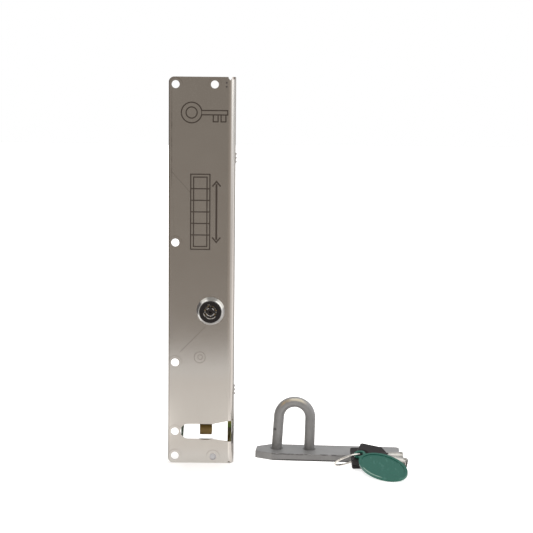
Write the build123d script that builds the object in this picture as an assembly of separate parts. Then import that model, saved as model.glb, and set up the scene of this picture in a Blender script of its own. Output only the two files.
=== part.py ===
"""Electric gate lock: bolt case, floor striker and keys. Lengths in mm, +Z up.

The case is modelled from the lower left front corner of its front plate: x across, y back, z up.
Everything is then shifted, so that the origin lies on the bolt's axis at the middle of the striker slot.
"""
import math
import os

from build123d import *

# Front plate: one bent sheet, a face and a right flange
PLATE_W = 55.0
PLATE_H = 327.0
FLANGE_D = 42.0
SHEET = 1.5
BEND_R = 4.0
CORNER_R = 4.5
FLANGE_CORNER_R = 3.0
RELIEF_W = 3.0
RELIEF_H = 2.8

# Screw holes of the front plate
SCREW_HOLE = 6.6
COLUMN_LEFT = 5.7
COLUMN_GAP = 32.5
TOP_HOLE_DOWN = 6.3
UPPER_MID_HOLE = 188.7
LOWER_MID_HOLE = 86.6
BAY_HOLE = 27.1
FOOT_HOLE = 6.1
PILOT_HOLE = 5.7
PILOT_Z = 5.5

# Striker slot, with its flared mouth through the bend
SLOT_LEFT = 10.4
SLOT_MID = 27.2
SLOT_H = 13.0
MOUTH_H = 17.9
MOUTH_UP = 0.35
FLARE_START = 37.6
MOUTH_REAR_WALL = 3.0
MOUTH_BACK_GAP = 0.4
MOUTH_CORNER_R = 2.5
DIP_W = 11.0
DIP_DEPTH = 0.6

# Bolt
BOLT_X = 31.5
BOLT_Y = 22.0
BOLT_W = 10.4
BOLT_D = 12.0
BOLT_TIP = 20.8
BOLT_EDGE_R = 1.2
BOLT_TRAVEL = 14.5
STRAP_T = 3.0

# Chassis: a lipped channel behind the plate
CHASSIS_T = 1.2
CHASSIS_LEFT = 10.9
CHASSIS_TOP_DOWN = 15.0
COVER_T = 1.0
LIP = 6.4
BAY_LIP = 3.6
BAY_TOP = 46.0
BAY_MARGIN = 1.5
BAY_SLANT_LOW = 14.4
BAY_SLANT_HIGH = 33.7
BAY_WALL_FOOT = 5.0

# Key cylinder and its lifting cam
CYL_X = 35.6
CYL_Z = 131.0
CYL_HEAD = 23.6
CYL_RIM = 21.4
CYL_BEVEL = 1.1
CYL_PROUD = 6.6
CYL_BODY = 19.0
CYL_FLATS = 16.4
CYL_DEEP = 16.0
FACE_DISC = 18.4
KEYWAY = 10.9
POST = 7.4
PLUG = 12.4
PIN_COUNT = 7
CAM_BASE_R = 9.5
CAM_T = 3.0
CAM_HUB = 11.0
CAM_START = 0.2
KEY_TURN = 90.0
FACE_T = 2.2
FACE_PROUD = 0.5
TAIL_WALL = 3.5
TAIL = 8.0
TAIL_SQUARE = 5.2
PLUG_TOP = -0.6
PIN = 1.5
CYL_NUT_FLATS = CYL_BODY + 3
CYL_NUT_H = 5.0
LUG_H = 6.0
LUG_W = 6.4

# Lead screw, its motor and its carriage
SCREW_X = 20.0
SCREW_Y = 12.0
SCREW = 6.0
MOTOR = 15.4
MOTOR_L = 52.0
CARRIAGE_H = 12.0
SPRING_L = 28.0
SPRING_OD = 8.0
SPRING_WIRE = 0.9
SPRING_TURNS = 9
SPRING_SEAT = 60.0
SPRING_PEG_L = 5.0
CARRIAGE_PIN = 4.0
NUT_OD = 10.0
NUT_FLANGE = 13.6
COUPLER_DROP = 17.0
COUPLER_H = 14.0
COUPLER_OD = 11.5
SHAFT = 4.0

# Small parts inside the case
SMALL_SCREW = 3.0
GUIDE_Z = 38.0
GUIDE_T = 2.0
GUIDE_FLANGE = 9.0
KEEPER_TOP = 12.9
KEEPER_STEP = 10.4
KEEPER_STEP_OUT = 2.5
KEEPER_RIM = 1.3
BRACKET_T = 2.0
BEARING_Z = 78.0
MOTOR_Z = 198.0
GROMMET_X = 24.0
GROMMET_Y = 22.0
GROMMET_NECK = 12.0
GROMMET_BORE = 7.0
BOARD_T = 1.6
BOARD_GAP = 3.0
BOARD_LOW = 206.0
BOARD_H = 92.0
SWITCH_L = 19.8
SWITCH_W = 6.4
SWITCH_D = 10.2
SWITCH_BEHIND_CYL = 1.5
LEVER_T = 0.4
LEVER_IN = 5.4
LEVER_W = 3.6
WELD_HEIGHTS = (55.6, 258.0)
WELD_PITCH = 3.4
WELD_LOBE_R = 1.3

# Striker
BAR_L = 124.4
BAR_W = 35.0
BAR_T = 6.0
BAR_YAW = -4.0
BAR_LEFT = 73.6
BAR_FRONT = 12.3
BAR_END_R = 4.0
BAR_SAWN_R = 0.4
BAR_TOP_BREAK = 0.3
CROP_FRONT_ALONG = 16.0
CROP_REAR_ALONG = 12.0
CROP_ACROSS = 9.0
HOOP_ROD = 9.0
HOOP_W = 28.4
HOOP_H = 45.9
HOOP_LEAN_LEFT = 3.6
HOOP_LEAN_RIGHT = 1.3
HOOP_FROM_LEFT = 32.0
HOOP_FROM_FRONT = 20.0

# Keys, ring and tag: x, y, z of the head's end, then turn, dip and roll in degrees
KEY_W = 27.8
KEY_HEAD_L = 26.5
KEY_SHOULDER = 18.5
KEY_T = 4.0
KEY_L = 44.0
KEY_HOLE = 6.9
KEY_HOLE_IN = 5.5
KEY_CORNER_R = 1.6
KEY_SHOULDER_R = 0.9
BARREL = 9.5
BARREL_BORE = 7.9
KEY_PLACES = ((155.72, -5.13, 6.51, 0.92, -1.04, 18.82), (159.69, -11.49, 12.14, -17.7, 6.84, 20.64))
TAG_L = 50.04
TAG_W = 29.85
TAG_T = 2.0
TAG_RIM = 0.5
TAG_LOOP = 10.0
TAG_LOOP_T = 1.3
TAG_HOLE = 5.9
TAG_HOLE_OUT = 28.77
TAG_PLACE = (180.43, -39.9, 7.87, -49.82, 10.49, 17.59)
RING_OD = 25.15
RING_WIRE_W = 1.3
RING_WIRE_H = 0.7
RING_PLACE = (152.87, -13.9, 7.42, 1.05, -19.96, -27.33)

# Fits
SLIDE_GAP = 0.3
TURN_GAP = 0.2
SMALL_GAP = 0.1

ABOVE_SLOT = SLOT_MID + SLOT_H / 2
BELOW_SLOT = SLOT_MID - SLOT_H / 2
PLATE_BACK = SHEET
FLANGE_IN = PLATE_W - SHEET
CASE_RIGHT = FLANGE_IN - SLIDE_GAP
CASE_BACK = FLANGE_D - COVER_T
CASE_TOP = PLATE_H - CHASSIS_TOP_DOWN
ROOM_LEFT = CHASSIS_LEFT + CHASSIS_T
ROOM_RIGHT = CASE_RIGHT - CHASSIS_T
ROOM_FRONT = PLATE_BACK + CHASSIS_T
ROOM_BACK = CASE_BACK - CHASSIS_T
BOLT_LEFT = BOLT_X - BOLT_W / 2
BOLT_RIGHT = BOLT_X + BOLT_W / 2
BOLT_FRONT = BOLT_Y - BOLT_D / 2
BOLT_BACK = BOLT_Y + BOLT_D / 2
KEY_LIFT = CAM_BASE_R * math.radians(KEY_TURN)
CAM_FRONT = CYL_DEEP + 1.2
LUG_LOW = CYL_Z + CAM_BASE_R * CAM_START + SLIDE_GAP
STRAP_TOP = LUG_LOW + LUG_H + 2
CARRIAGE_LOW = SPRING_SEAT + SPRING_L
CARRIAGE_TOP = CARRIAGE_LOW + CARRIAGE_H
CARRIAGE_PIN_Z = CARRIAGE_LOW + CARRIAGE_H / 2
SPRING_Y = BOLT_FRONT + SPRING_OD / 2 + 0.6
SPRING_PEG = SPRING_OD - 2 * SPRING_WIRE - 1.2
COUPLER_LOW = MOTOR_Z - BRACKET_T - COUPLER_DROP
BOARD_X = ROOM_RIGHT - BOARD_GAP - BOARD_T
BOARD_Y0 = ROOM_FRONT + 3
BOARD_Y1 = ROOM_BACK - 2
SWITCH_FACE = ROOM_RIGHT - SWITCH_W
SWITCH_Y = CYL_DEEP + SWITCH_BEHIND_CYL


def block(x0, x1, y0, y1, z0, z1):
    """A box between two corners."""
    centre = Pos((x0 + x1) / 2, (y0 + y1) / 2, (z0 + z1) / 2)
    return centre * Box(x1 - x0, y1 - y0, z1 - z0)


def post(x, y, z0, z1, diameter):
    """An upright round bar."""
    return Pos(x, y, (z0 + z1) / 2) * Cylinder(diameter / 2, z1 - z0)


def bore(x, z, y0, y1, diameter):
    """A round bar running front to back."""
    return Pos(x, (y0 + y1) / 2, z) * Rot(90, 0, 0) * Cylinder(diameter / 2, y1 - y0)


def cross_bar(y, z, x0, x1, diameter):
    """A round bar running left to right."""
    return Pos((x0 + x1) / 2, y, z) * Rot(0, 90, 0) * Cylinder(diameter / 2, x1 - x0)


def joined(pieces):
    """All pieces fused into one shape."""
    whole = pieces[0]
    for piece in pieces[1:]:
        whole = whole + piece
    return whole


def upright_edges(shape, x, y):
    """The edges that run along z at one place."""
    return [
        e
        for e in shape.edges().filter_by(Axis.Z)
        if abs(e.center().X - x) < 0.01 and abs(e.center().Y - y) < 0.01
    ]


def bent_sheet():
    """The plate's L section, drawn out to its height."""
    outer = Pos(0, 0) * Rectangle(PLATE_W, FLANGE_D, align=(Align.MIN, Align.MIN))
    inner = Pos(-1, SHEET) * Rectangle(PLATE_W + 1 - SHEET, FLANGE_D, align=(Align.MIN, Align.MIN))
    section = outer - inner
    sheet = extrude(section, PLATE_H)
    sheet = fillet(upright_edges(sheet, PLATE_W, 0), BEND_R)
    return fillet(upright_edges(sheet, FLANGE_IN, SHEET), BEND_R - SHEET)


def slot_outline(margin):
    """The slot seen from the front: round end, straight run, flared mouth. It lies in the XZ plane."""
    low, high = BELOW_SLOT - margin, ABOVE_SLOT + margin
    radius = (high - low) / 2
    left = SLOT_LEFT - margin + radius
    mouth_low = SLOT_MID + MOUTH_UP - MOUTH_H / 2 - margin
    mouth_high = SLOT_MID + MOUTH_UP + MOUTH_H / 2 + margin
    flare_end = PLATE_W - BEND_R
    run = [
        Line((FLARE_START, low), (left, low)),
        ThreePointArc((left, low), (left - radius, SLOT_MID), (left, high)),
        Line((left, high), (FLARE_START, high)),
        Line((FLARE_START, high), (flare_end, mouth_high)),
        Line((flare_end, mouth_high), (PLATE_W + 1, mouth_high)),
        Line((PLATE_W + 1, mouth_high), (PLATE_W + 1, mouth_low)),
        Line((PLATE_W + 1, mouth_low), (flare_end, mouth_low)),
        Line((flare_end, mouth_low), (FLARE_START, low)),
    ]
    return make_face(run)


def front_to_back(face, y0, y1):
    """A face drawn in x and z, standing at y0 and carried back to y1."""
    standing = Pos(0, y0, 0) * Rot(90, 0, 0) * face
    return extrude(standing, amount=y1 - y0, dir=(0, 1, 0))


def slot_cut(margin):
    """What the slot and its mouth take out of the plate and the chassis."""
    front = front_to_back(slot_outline(margin), -1, BEND_R)
    mouth_back = FLANGE_D - MOUTH_REAR_WALL + min(margin, MOUTH_BACK_GAP)
    height = MOUTH_H + 2 * margin
    opening = Pos(PLATE_W - SHEET, (BEND_R + mouth_back) / 2 - BEND_R, SLOT_MID + MOUTH_UP)
    side = opening * Box(4 * BEND_R, mouth_back + BEND_R, height)
    side = fillet(
        [e for e in side.edges().filter_by(Axis.X) if e.center().Y > BEND_R], MOUTH_CORNER_R + margin
    )
    keep = block(PLATE_W - BEND_R, PLATE_W + 9, -1, FLANGE_D, 0, PLATE_H)
    return front + (side & keep)


def dip_cut(depth):
    """A shallow round dip in the slot's lower edge, under the bolt."""
    radius = (DIP_W**2 / 4 + DIP_DEPTH**2) / (2 * DIP_DEPTH)
    return bore(BOLT_X, BELOW_SLOT - DIP_DEPTH + radius, -1, depth, 2 * radius) & block(
        BOLT_X - DIP_W, BOLT_X + DIP_W, -1, depth, BELOW_SLOT - 2 * DIP_DEPTH, BELOW_SLOT + 1
    )


def hole_places():
    """Every M6 screw hole of the plate, as x and z."""
    right = COLUMN_LEFT + COLUMN_GAP
    top = PLATE_H - TOP_HOLE_DOWN
    left_column = [(COLUMN_LEFT, z) for z in (top, UPPER_MID_HOLE, LOWER_MID_HOLE, BAY_HOLE, FOOT_HOLE)]
    return left_column + [(right, top)]


def front_plate():
    """Stainless face and flange, with its holes, slot and bend reliefs."""
    plate = bent_sheet()
    corners = [
        e
        for e in plate.edges().filter_by(Axis.Y)
        if abs(e.center().X) < 0.01 and abs(e.center().Y - SHEET / 2) < 0.01
    ]
    plate = fillet(corners, CORNER_R)
    rear_corners = [e for e in plate.edges().filter_by(Axis.X) if abs(e.center().Y - FLANGE_D) < 0.01]
    plate = fillet(rear_corners, FLANGE_CORNER_R)
    notch = Polyline(
        (PLATE_W - BEND_R - RELIEF_W / 2, PLATE_H + 1),
        (PLATE_W - BEND_R + RELIEF_W / 2, PLATE_H + 1),
        (PLATE_W - BEND_R + RELIEF_W / 2, PLATE_H - RELIEF_H / 3),
        (PLATE_W - BEND_R, PLATE_H - RELIEF_H),
        (PLATE_W - BEND_R - RELIEF_W / 2, PLATE_H - RELIEF_H / 3),
        close=True,
    )
    plate = plate - front_to_back(make_face(notch), -1, BEND_R)
    foot = (PLATE_W - BEND_R, PLATE_W - BEND_R + RELIEF_W / 2)
    plate = plate - block(foot[0], foot[1], -1, BEND_R, -1, RELIEF_H / 2)
    for x, z in hole_places():
        plate = plate - bore(x, z, -1, SHEET + 1, SCREW_HOLE)
    plate = plate - bore(COLUMN_LEFT + COLUMN_GAP, PILOT_Z, -1, SHEET + 1, PILOT_HOLE)
    plate = plate - bore(CYL_X, CYL_Z, -1, SHEET + 1, CYL_BODY + 2 * TURN_GAP)
    return plate - slot_cut(0) - dip_cut(SHEET + 1)


def chassis():
    """Lipped channel: web, two walls, rear lips, a top and a foot flange."""
    outer = block(CHASSIS_LEFT, CASE_RIGHT, PLATE_BACK, CASE_BACK, 0, CASE_TOP)
    right_front = upright_edges(outer, CASE_RIGHT, PLATE_BACK)
    outer = fillet(right_front, BEND_R - SHEET + CHASSIS_T)
    room = block(ROOM_LEFT, ROOM_RIGHT, ROOM_FRONT, ROOM_BACK, CHASSIS_T, CASE_TOP - CHASSIS_T)
    room = fillet(upright_edges(room, ROOM_RIGHT, ROOM_FRONT), BEND_R - SHEET)
    rear = block(CHASSIS_LEFT + LIP, CASE_RIGHT - LIP, ROOM_BACK - 1, CASE_BACK + 1, CHASSIS_T, CASE_TOP - 8)
    bay = block(CHASSIS_LEFT - 1, CASE_RIGHT - BAY_LIP, ROOM_BACK - 1, CASE_BACK + 1, -1, BAY_TOP)
    shell = outer - room - rear - bay
    shell = shell - bay_slant()
    shell = shell - slot_cut(BAY_MARGIN)
    right = COLUMN_LEFT + COLUMN_GAP
    shell = shell - bore(right, PILOT_Z, 0, ROOM_FRONT + 1, PILOT_HOLE + 1)
    shell = shell - bore(CYL_X, CYL_Z, 0, ROOM_FRONT + 1, CYL_BODY + 2 * TURN_GAP)
    shell = shell - post(GROMMET_X, GROMMET_Y, CASE_TOP - 3, CASE_TOP + 1, GROMMET_NECK + SMALL_GAP)
    for y, z in guide_screw_places():
        shell = shell - cross_bar(y, z, CHASSIS_LEFT - 1, CASE_RIGHT + 1, SMALL_SCREW + SMALL_GAP)
    for x, z in bracket_screw_places():
        shell = shell - bore(x, z, 0, ROOM_FRONT + 1, SMALL_SCREW + SMALL_GAP)
    for x, z in cover_screw_places():
        shell = shell - bore(x, z, ROOM_BACK - 1, CASE_BACK + 1, SMALL_SCREW + SMALL_GAP)
    for x, y in keeper_screw_places():
        shell = shell - post(x, y, -1, CHASSIS_T + 1, SMALL_SCREW + SMALL_GAP)
        shell = shell - Pos(x, y, CHASSIS_T / 2) * Cone(SMALL_SCREW, SMALL_SCREW / 2, CHASSIS_T)
    return shell


def bay_slant():
    """What the left wall lacks beside the bay: everything behind its short foot and below a slanted edge."""
    outline = Polyline(
        (ROOM_FRONT + BAY_WALL_FOOT, -1),
        (CASE_BACK + 1, -1),
        (CASE_BACK + 1, BAY_SLANT_HIGH),
        (CASE_BACK, BAY_SLANT_HIGH),
        (ROOM_FRONT + BAY_WALL_FOOT, BAY_SLANT_LOW),
        close=True,
    )
    return extrude(Plane.YZ.offset(CHASSIS_LEFT - 1) * make_face(outline), CHASSIS_T + 2)


def guide_screw_places():
    """Screws of the bolt guide, as y and z."""
    z = GUIDE_Z + GUIDE_FLANGE / 2 + GUIDE_T / 2
    return [(ROOM_FRONT + 8, z), (ROOM_BACK - 8, z)]


def cover_screw_places():
    """Screws of the back cover, as x and z: both lips at four heights."""
    left = CHASSIS_LEFT + (LIP + CHASSIS_T) / 2
    right = CASE_RIGHT - (LIP + CHASSIS_T) / 2
    low, high = BAY_TOP + 6, CASE_TOP - 14
    heights = [low + (high - low) * n / 3 for n in range(4)]
    return [(x, z) for x in (left, right) for z in heights]


def keeper_screw_places():
    """Screws of the keeper block, as x and y."""
    return [(BOLT_X - 6, ROOM_FRONT + 5), (BOLT_X - 6, BOLT_BACK + 3.5)]


def back_cover():
    """Flat cover on the rear lips, above the bay."""
    cover = block(CHASSIS_LEFT + 0.6, CASE_RIGHT - 0.6, CASE_BACK, FLANGE_D, BAY_TOP, CASE_TOP - 1)
    corners = cover.edges().filter_by(Axis.Y)
    cover = fillet(corners, 2)
    for x, z in cover_screw_places():
        cover = cover - bore(x, z, CASE_BACK - 1, FLANGE_D + 1, SMALL_SCREW + SMALL_GAP)
    return cover


def pan_screw(length):
    """A small pan head screw, head upward, seat at z 0, shank down."""
    head = Pos(0, 0, 0.8) * Cylinder(SMALL_SCREW * 0.95, 1.6)
    head = fillet(head.edges().group_by(Axis.Z)[-1], 0.6)
    recess = block(-1.5, 1.5, -0.3, 0.3, 0.9, 2) + block(-0.3, 0.3, -1.5, 1.5, 0.9, 2)
    return head - recess + Pos(0, 0, -length / 2) * Cylinder(SMALL_SCREW / 2 - SMALL_GAP / 2, length)


def cover_screws():
    """Eight pan head screws through the cover into the lips."""
    screw = Rot(-90, 0, 0) * pan_screw(COVER_T + CHASSIS_T + 1)
    return [Pos(x, FLANGE_D, z) * screw for x, z in cover_screw_places()]


def tack_welds():
    """Two three-lobed tack welds that join the flange's rear edge to the chassis."""
    beads = []
    for z in WELD_HEIGHTS:
        middle = Pos(PLATE_W - 0.3, CASE_BACK + 0.4, z)
        lobes = [middle * Pos(0, 0, n * WELD_PITCH) * Sphere(WELD_LOBE_R) for n in (-1, 0, 1)]
        seam = middle * Cylinder(WELD_LOBE_R / 2, 2 * WELD_PITCH)
        beads.append(joined([*lobes, seam]) - block(PLATE_W - 4, PLATE_W, 0, FLANGE_D, z - 9, z + 9))
    return beads


def keeper_block():
    """Milled block under the slot, with the bolt's pocket; a spigot fills the web's lower right hole."""
    body = block(BOLT_LEFT - 4.5, BOLT_RIGHT + 9, ROOM_FRONT, BOLT_BACK + 6, CHASSIS_T, KEEPER_TOP)
    body = body - block(BOLT_RIGHT + KEEPER_STEP_OUT, PLATE_W, 0, FLANGE_D, KEEPER_STEP, CASE_TOP)
    body = chamfer(body.edges().group_by(Axis.Z)[-1], 0.6)
    pocket = block(
        BOLT_LEFT - 1.6, BOLT_RIGHT + 1.6, BOLT_FRONT - 1.6, BOLT_BACK + 1.6, CHASSIS_T + 3, KEEPER_TOP + 1
    )
    pocket = fillet(pocket.edges().filter_by(Axis.Z), 1.5)
    for x, y in keeper_screw_places():
        body = body - post(x, y, 0, CHASSIS_T + 6, SMALL_SCREW + SMALL_GAP)
    spigot = bore(COLUMN_LEFT + COLUMN_GAP, PILOT_Z, PLATE_BACK, ROOM_FRONT, PILOT_HOLE + 1 - 2 * SMALL_GAP)
    return body + spigot - pocket


def keeper_rim():
    """Hardened lining of the pocket, with a collar on top of the block."""
    x, y = (BOLT_LEFT + BOLT_RIGHT) / 2, BOLT_Y
    sleeve = Pos(x, y, (CHASSIS_T + 3 + KEEPER_TOP) / 2) * Box(
        BOLT_W + 3.2 - 2 * SMALL_GAP, BOLT_D + 3.2 - 2 * SMALL_GAP, KEEPER_TOP - CHASSIS_T - 3
    )
    sleeve = fillet(sleeve.edges().filter_by(Axis.Z), 1.4)
    collar = Pos(x, y, KEEPER_TOP + KEEPER_RIM / 2) * Box(BOLT_W + 3.4, BOLT_D + 4.5, KEEPER_RIM)
    collar = fillet(collar.edges().filter_by(Axis.Z), 2)
    collar = chamfer(collar.edges().group_by(Axis.Z)[-1], 0.4)
    hole = Pos(x, y, KEEPER_TOP / 2) * Box(BOLT_W + 2 * SLIDE_GAP, BOLT_D + 2 * SLIDE_GAP, 2 * KEEPER_TOP)
    return sleeve + collar - hole


def keeper_screws():
    """Two countersunk screws that hold the block from below."""
    screws = []
    for x, y in keeper_screw_places():
        head = Pos(x, y, CHASSIS_T / 2) * Cone(SMALL_SCREW - SMALL_GAP, SMALL_SCREW / 2 - SMALL_GAP, CHASSIS_T)
        shank = post(x, y, CHASSIS_T - 0.1, CHASSIS_T + 5.5, SMALL_SCREW - SMALL_GAP)
        slot = block(x - 2, x + 2, y - 0.3, y + 0.3, -1, 0.5)
        screws.append(head + shank - slot)
    return screws


def bolt_guide():
    """Bent bracket over the bay, with the hole that the bolt runs in."""
    left, right = ROOM_LEFT + SMALL_GAP, ROOM_RIGHT - SMALL_GAP
    front, rear = ROOM_FRONT + SLIDE_GAP, ROOM_BACK - 0.5
    tall = GUIDE_Z + GUIDE_FLANGE
    whole = block(left, right, front, rear, GUIDE_Z, tall)
    room = block(left + GUIDE_T, right - GUIDE_T, front - 1, rear + 1, GUIDE_Z + GUIDE_T, tall + 1)
    hole = block(
        BOLT_LEFT - SLIDE_GAP, BOLT_RIGHT + SLIDE_GAP, BOLT_FRONT - SLIDE_GAP, BOLT_BACK + SLIDE_GAP, 0, tall
    )
    collar = block(BOLT_LEFT - 2.3, BOLT_RIGHT + 2.3, BOLT_FRONT - 2.3, BOLT_BACK + 2.3, GUIDE_Z, tall - 1)
    collar = fillet(collar.edges().filter_by(Axis.Z), 2)
    whole = fillet(upright_edges(whole, right, front), BEND_R - SHEET)
    guide = whole - room + collar - hole
    for y, z in guide_screw_places():
        guide = guide - cross_bar(y, z, left - 1, right + 1, SMALL_SCREW + SMALL_GAP)
    return guide


def guide_screws():
    """Four screws through the chassis walls into the bolt guide."""
    left_screw = Rot(0, -90, 0) * pan_screw(CHASSIS_T + GUIDE_T + 1)
    screws = [Pos(CHASSIS_LEFT, y, z) * left_screw for y, z in guide_screw_places()]
    flush = Rot(0, 90, 0) * Cylinder(SMALL_SCREW / 2 - SMALL_GAP / 2, CHASSIS_T + GUIDE_T)
    right_x = CASE_RIGHT - (CHASSIS_T + GUIDE_T) / 2 - SMALL_GAP
    return screws + [Pos(right_x, y, z) * flush for y, z in guide_screw_places()]


def bolt():
    """Bolt bar with its rear strap; the lug on the strap is what the key's cam lifts."""
    bar = block(BOLT_LEFT, BOLT_RIGHT, BOLT_FRONT, BOLT_BACK, BOLT_TIP, SPRING_SEAT)
    tip = [e for e in bar.edges().group_by(Axis.Z)[0]]
    bar = fillet(tip, BOLT_EDGE_R)
    strap = block(BOLT_LEFT, BOLT_RIGHT, BOLT_BACK - STRAP_T, BOLT_BACK, SPRING_SEAT, STRAP_TOP)
    lug_x = CYL_X - CAM_BASE_R
    lug = block(lug_x - LUG_W / 2, lug_x + LUG_W / 2, CAM_FRONT - 0.3, BOLT_BACK - STRAP_T, LUG_LOW, LUG_LOW + LUG_H)
    lug = lug + block(lug_x - LUG_W / 2, BOLT_RIGHT - 4, BOLT_BACK - STRAP_T, BOLT_BACK, LUG_LOW, STRAP_TOP)
    lug = fillet(lug.edges().filter_by(Axis.Y).group_by(Axis.X)[0], 1)
    reach = KEY_LIFT + 0.8
    width = CARRIAGE_PIN + 2 * SLIDE_GAP
    low = CARRIAGE_PIN_Z - reach
    slot = block(BOLT_X - width / 2, BOLT_X + width / 2, 0, FLANGE_D, low, CARRIAGE_PIN_Z)
    slot = slot + bore(BOLT_X, low, 0, FLANGE_D, width) + bore(BOLT_X, CARRIAGE_PIN_Z, 0, FLANGE_D, width)
    spring_peg = post(BOLT_X, SPRING_Y, SPRING_SEAT, SPRING_SEAT + SPRING_PEG_L, SPRING_PEG)
    return bar + strap + lug + spring_peg - slot


def carriage():
    """Carriage on the lead screw; the bolt hangs on its pin and its flag works the switches."""
    x0, x1 = SCREW_X - 7.5, BOLT_RIGHT + 4
    y0, y1 = ROOM_FRONT + SLIDE_GAP, BOLT_BACK - STRAP_T - SLIDE_GAP
    body = block(x0, x1, y0, y1, CARRIAGE_LOW, CARRIAGE_TOP)
    body = fillet(body.edges().filter_by(Axis.Z), 1.5)
    body = chamfer(body.edges().group_by(Axis.Z)[-1], 0.5)
    body = body - post(SCREW_X, SCREW_Y, 0, CASE_TOP, NUT_OD)
    body = body - bore(BOLT_X, CARRIAGE_PIN_Z, y1 - 8, y1 + 1, CARRIAGE_PIN)
    nose = post(BOLT_X, SPRING_Y, CARRIAGE_LOW - SPRING_PEG_L, CARRIAGE_LOW, SPRING_PEG)
    flag_y = SWITCH_Y + LEVER_IN
    flag_end = SWITCH_FACE - LEVER_T - SLIDE_GAP
    flag = block(x1 - 1, flag_end, flag_y, flag_y + LEVER_W, CARRIAGE_PIN_Z - 3, CARRIAGE_PIN_Z + 3)
    flag = chamfer(flag.edges().filter_by(Axis.Y).group_by(Axis.X)[-1], 1)
    return body + nose + flag


def lead_nut():
    """Bronze nut in the carriage, flange below."""
    nut = post(SCREW_X, SCREW_Y, CARRIAGE_LOW, CARRIAGE_TOP, NUT_OD)
    nut = nut + post(SCREW_X, SCREW_Y, CARRIAGE_LOW - 2, CARRIAGE_LOW, NUT_FLANGE)
    return nut - post(SCREW_X, SCREW_Y, 0, CASE_TOP, SCREW + 2 * SMALL_GAP)


def carriage_pin():
    """Pin in the carriage that runs in the strap's slot, with a head behind."""
    y0, y1 = BOLT_BACK - STRAP_T - SLIDE_GAP - 8, BOLT_BACK + SLIDE_GAP
    pin = bore(BOLT_X, CARRIAGE_PIN_Z, y0, y1, CARRIAGE_PIN)
    head = bore(BOLT_X, CARRIAGE_PIN_Z, y1, y1 + 1.6, CARRIAGE_PIN + 4)
    head = chamfer(head.edges().group_by(Axis.Y)[-1], 0.5)
    return pin + head


def coil_gap(centre_line, turns):
    """Least distance between points of a coil's centre line that lie at least half a turn apart."""
    per_turn = 24
    points = [centre_line @ (n / (per_turn * turns)) for n in range(per_turn * turns + 1)]
    apart = per_turn // 2
    return min((p - q).length for n, p in enumerate(points) for q in points[n + apart :])


def bolt_spring():
    """Compression spring between the bolt and the carriage, one helix with closed ends."""
    radius = (SPRING_OD - SPRING_WIRE) / 2
    length = SPRING_L - SPRING_WIRE - 2 * SMALL_GAP
    helix = Helix(length / SPRING_TURNS, length, radius)
    print("bolt_spring least gap", round(coil_gap(helix, SPRING_TURNS) - SPRING_WIRE, 2), "mm")
    wire = Plane(helix @ 0, z_dir=helix % 0) * Circle(SPRING_WIRE / 2)
    coil = sweep(wire, path=helix)
    return Pos(BOLT_X, SPRING_Y, SPRING_SEAT + SPRING_WIRE / 2 + SMALL_GAP) * coil


def bearing_bracket():
    """Bracket for the screw's lower end, on the chassis web, clear of the raised bolt."""
    low = BEARING_Z
    right = BOLT_LEFT - 2 * SLIDE_GAP
    shelf = block(ROOM_LEFT + SLIDE_GAP, right, ROOM_FRONT, SCREW_Y + 7, low, low + BRACKET_T)
    tab = block(ROOM_LEFT + SLIDE_GAP, right, ROOM_FRONT, ROOM_FRONT + BRACKET_T, low - 12, low)
    bracket = fillet((shelf + tab).edges().filter_by(Axis.Z).group_by(Axis.Y)[-1], 3)
    bracket = bracket - bore(SCREW_X, low - 6, 0, ROOM_FRONT + 3, SMALL_SCREW + SMALL_GAP)
    return bracket - post(SCREW_X, SCREW_Y, 0, CASE_TOP, SCREW + 2.2)


def screw_bush():
    """Flanged bush that the screw's lower end turns in."""
    z = BEARING_Z
    bush = post(SCREW_X, SCREW_Y, z, z + BRACKET_T, SCREW + 2)
    bush = bush + post(SCREW_X, SCREW_Y, z + BRACKET_T, z + BRACKET_T + 1.2, SCREW + 4.6)
    return bush - post(SCREW_X, SCREW_Y, 0, CASE_TOP, SCREW - 1 + 2 * SMALL_GAP)


def lead_screw():
    """Lead screw with a turned lower journal."""
    shoulder = BEARING_Z + BRACKET_T + 1.2 + SMALL_GAP
    screw = post(SCREW_X, SCREW_Y, BEARING_Z - 1, shoulder, SCREW - 1)
    thread = post(SCREW_X, SCREW_Y, shoulder, COUPLER_LOW + 6, SCREW)
    return screw + thread


def screw_coupler():
    """Split coupler between screw and motor shaft."""
    body = post(SCREW_X, SCREW_Y, COUPLER_LOW, COUPLER_LOW + COUPLER_H, COUPLER_OD)
    body = chamfer(body.edges().filter_by(GeomType.CIRCLE), 0.5)
    body = body - post(SCREW_X, SCREW_Y, 0, COUPLER_LOW + 6, SCREW)
    body = body - post(SCREW_X, SCREW_Y, COUPLER_LOW + 5, CASE_TOP, SHAFT)
    kerf = block(SCREW_X - 9, SCREW_X - 1, SCREW_Y - 0.5, SCREW_Y + 0.5, COUPLER_LOW - 1, COUPLER_LOW + 4.5)
    return body - kerf


def motor_shaft():
    """Output shaft of the gear motor."""
    return post(SCREW_X, SCREW_Y, COUPLER_LOW + 6.2, MOTOR_Z + 5, SHAFT)


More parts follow.
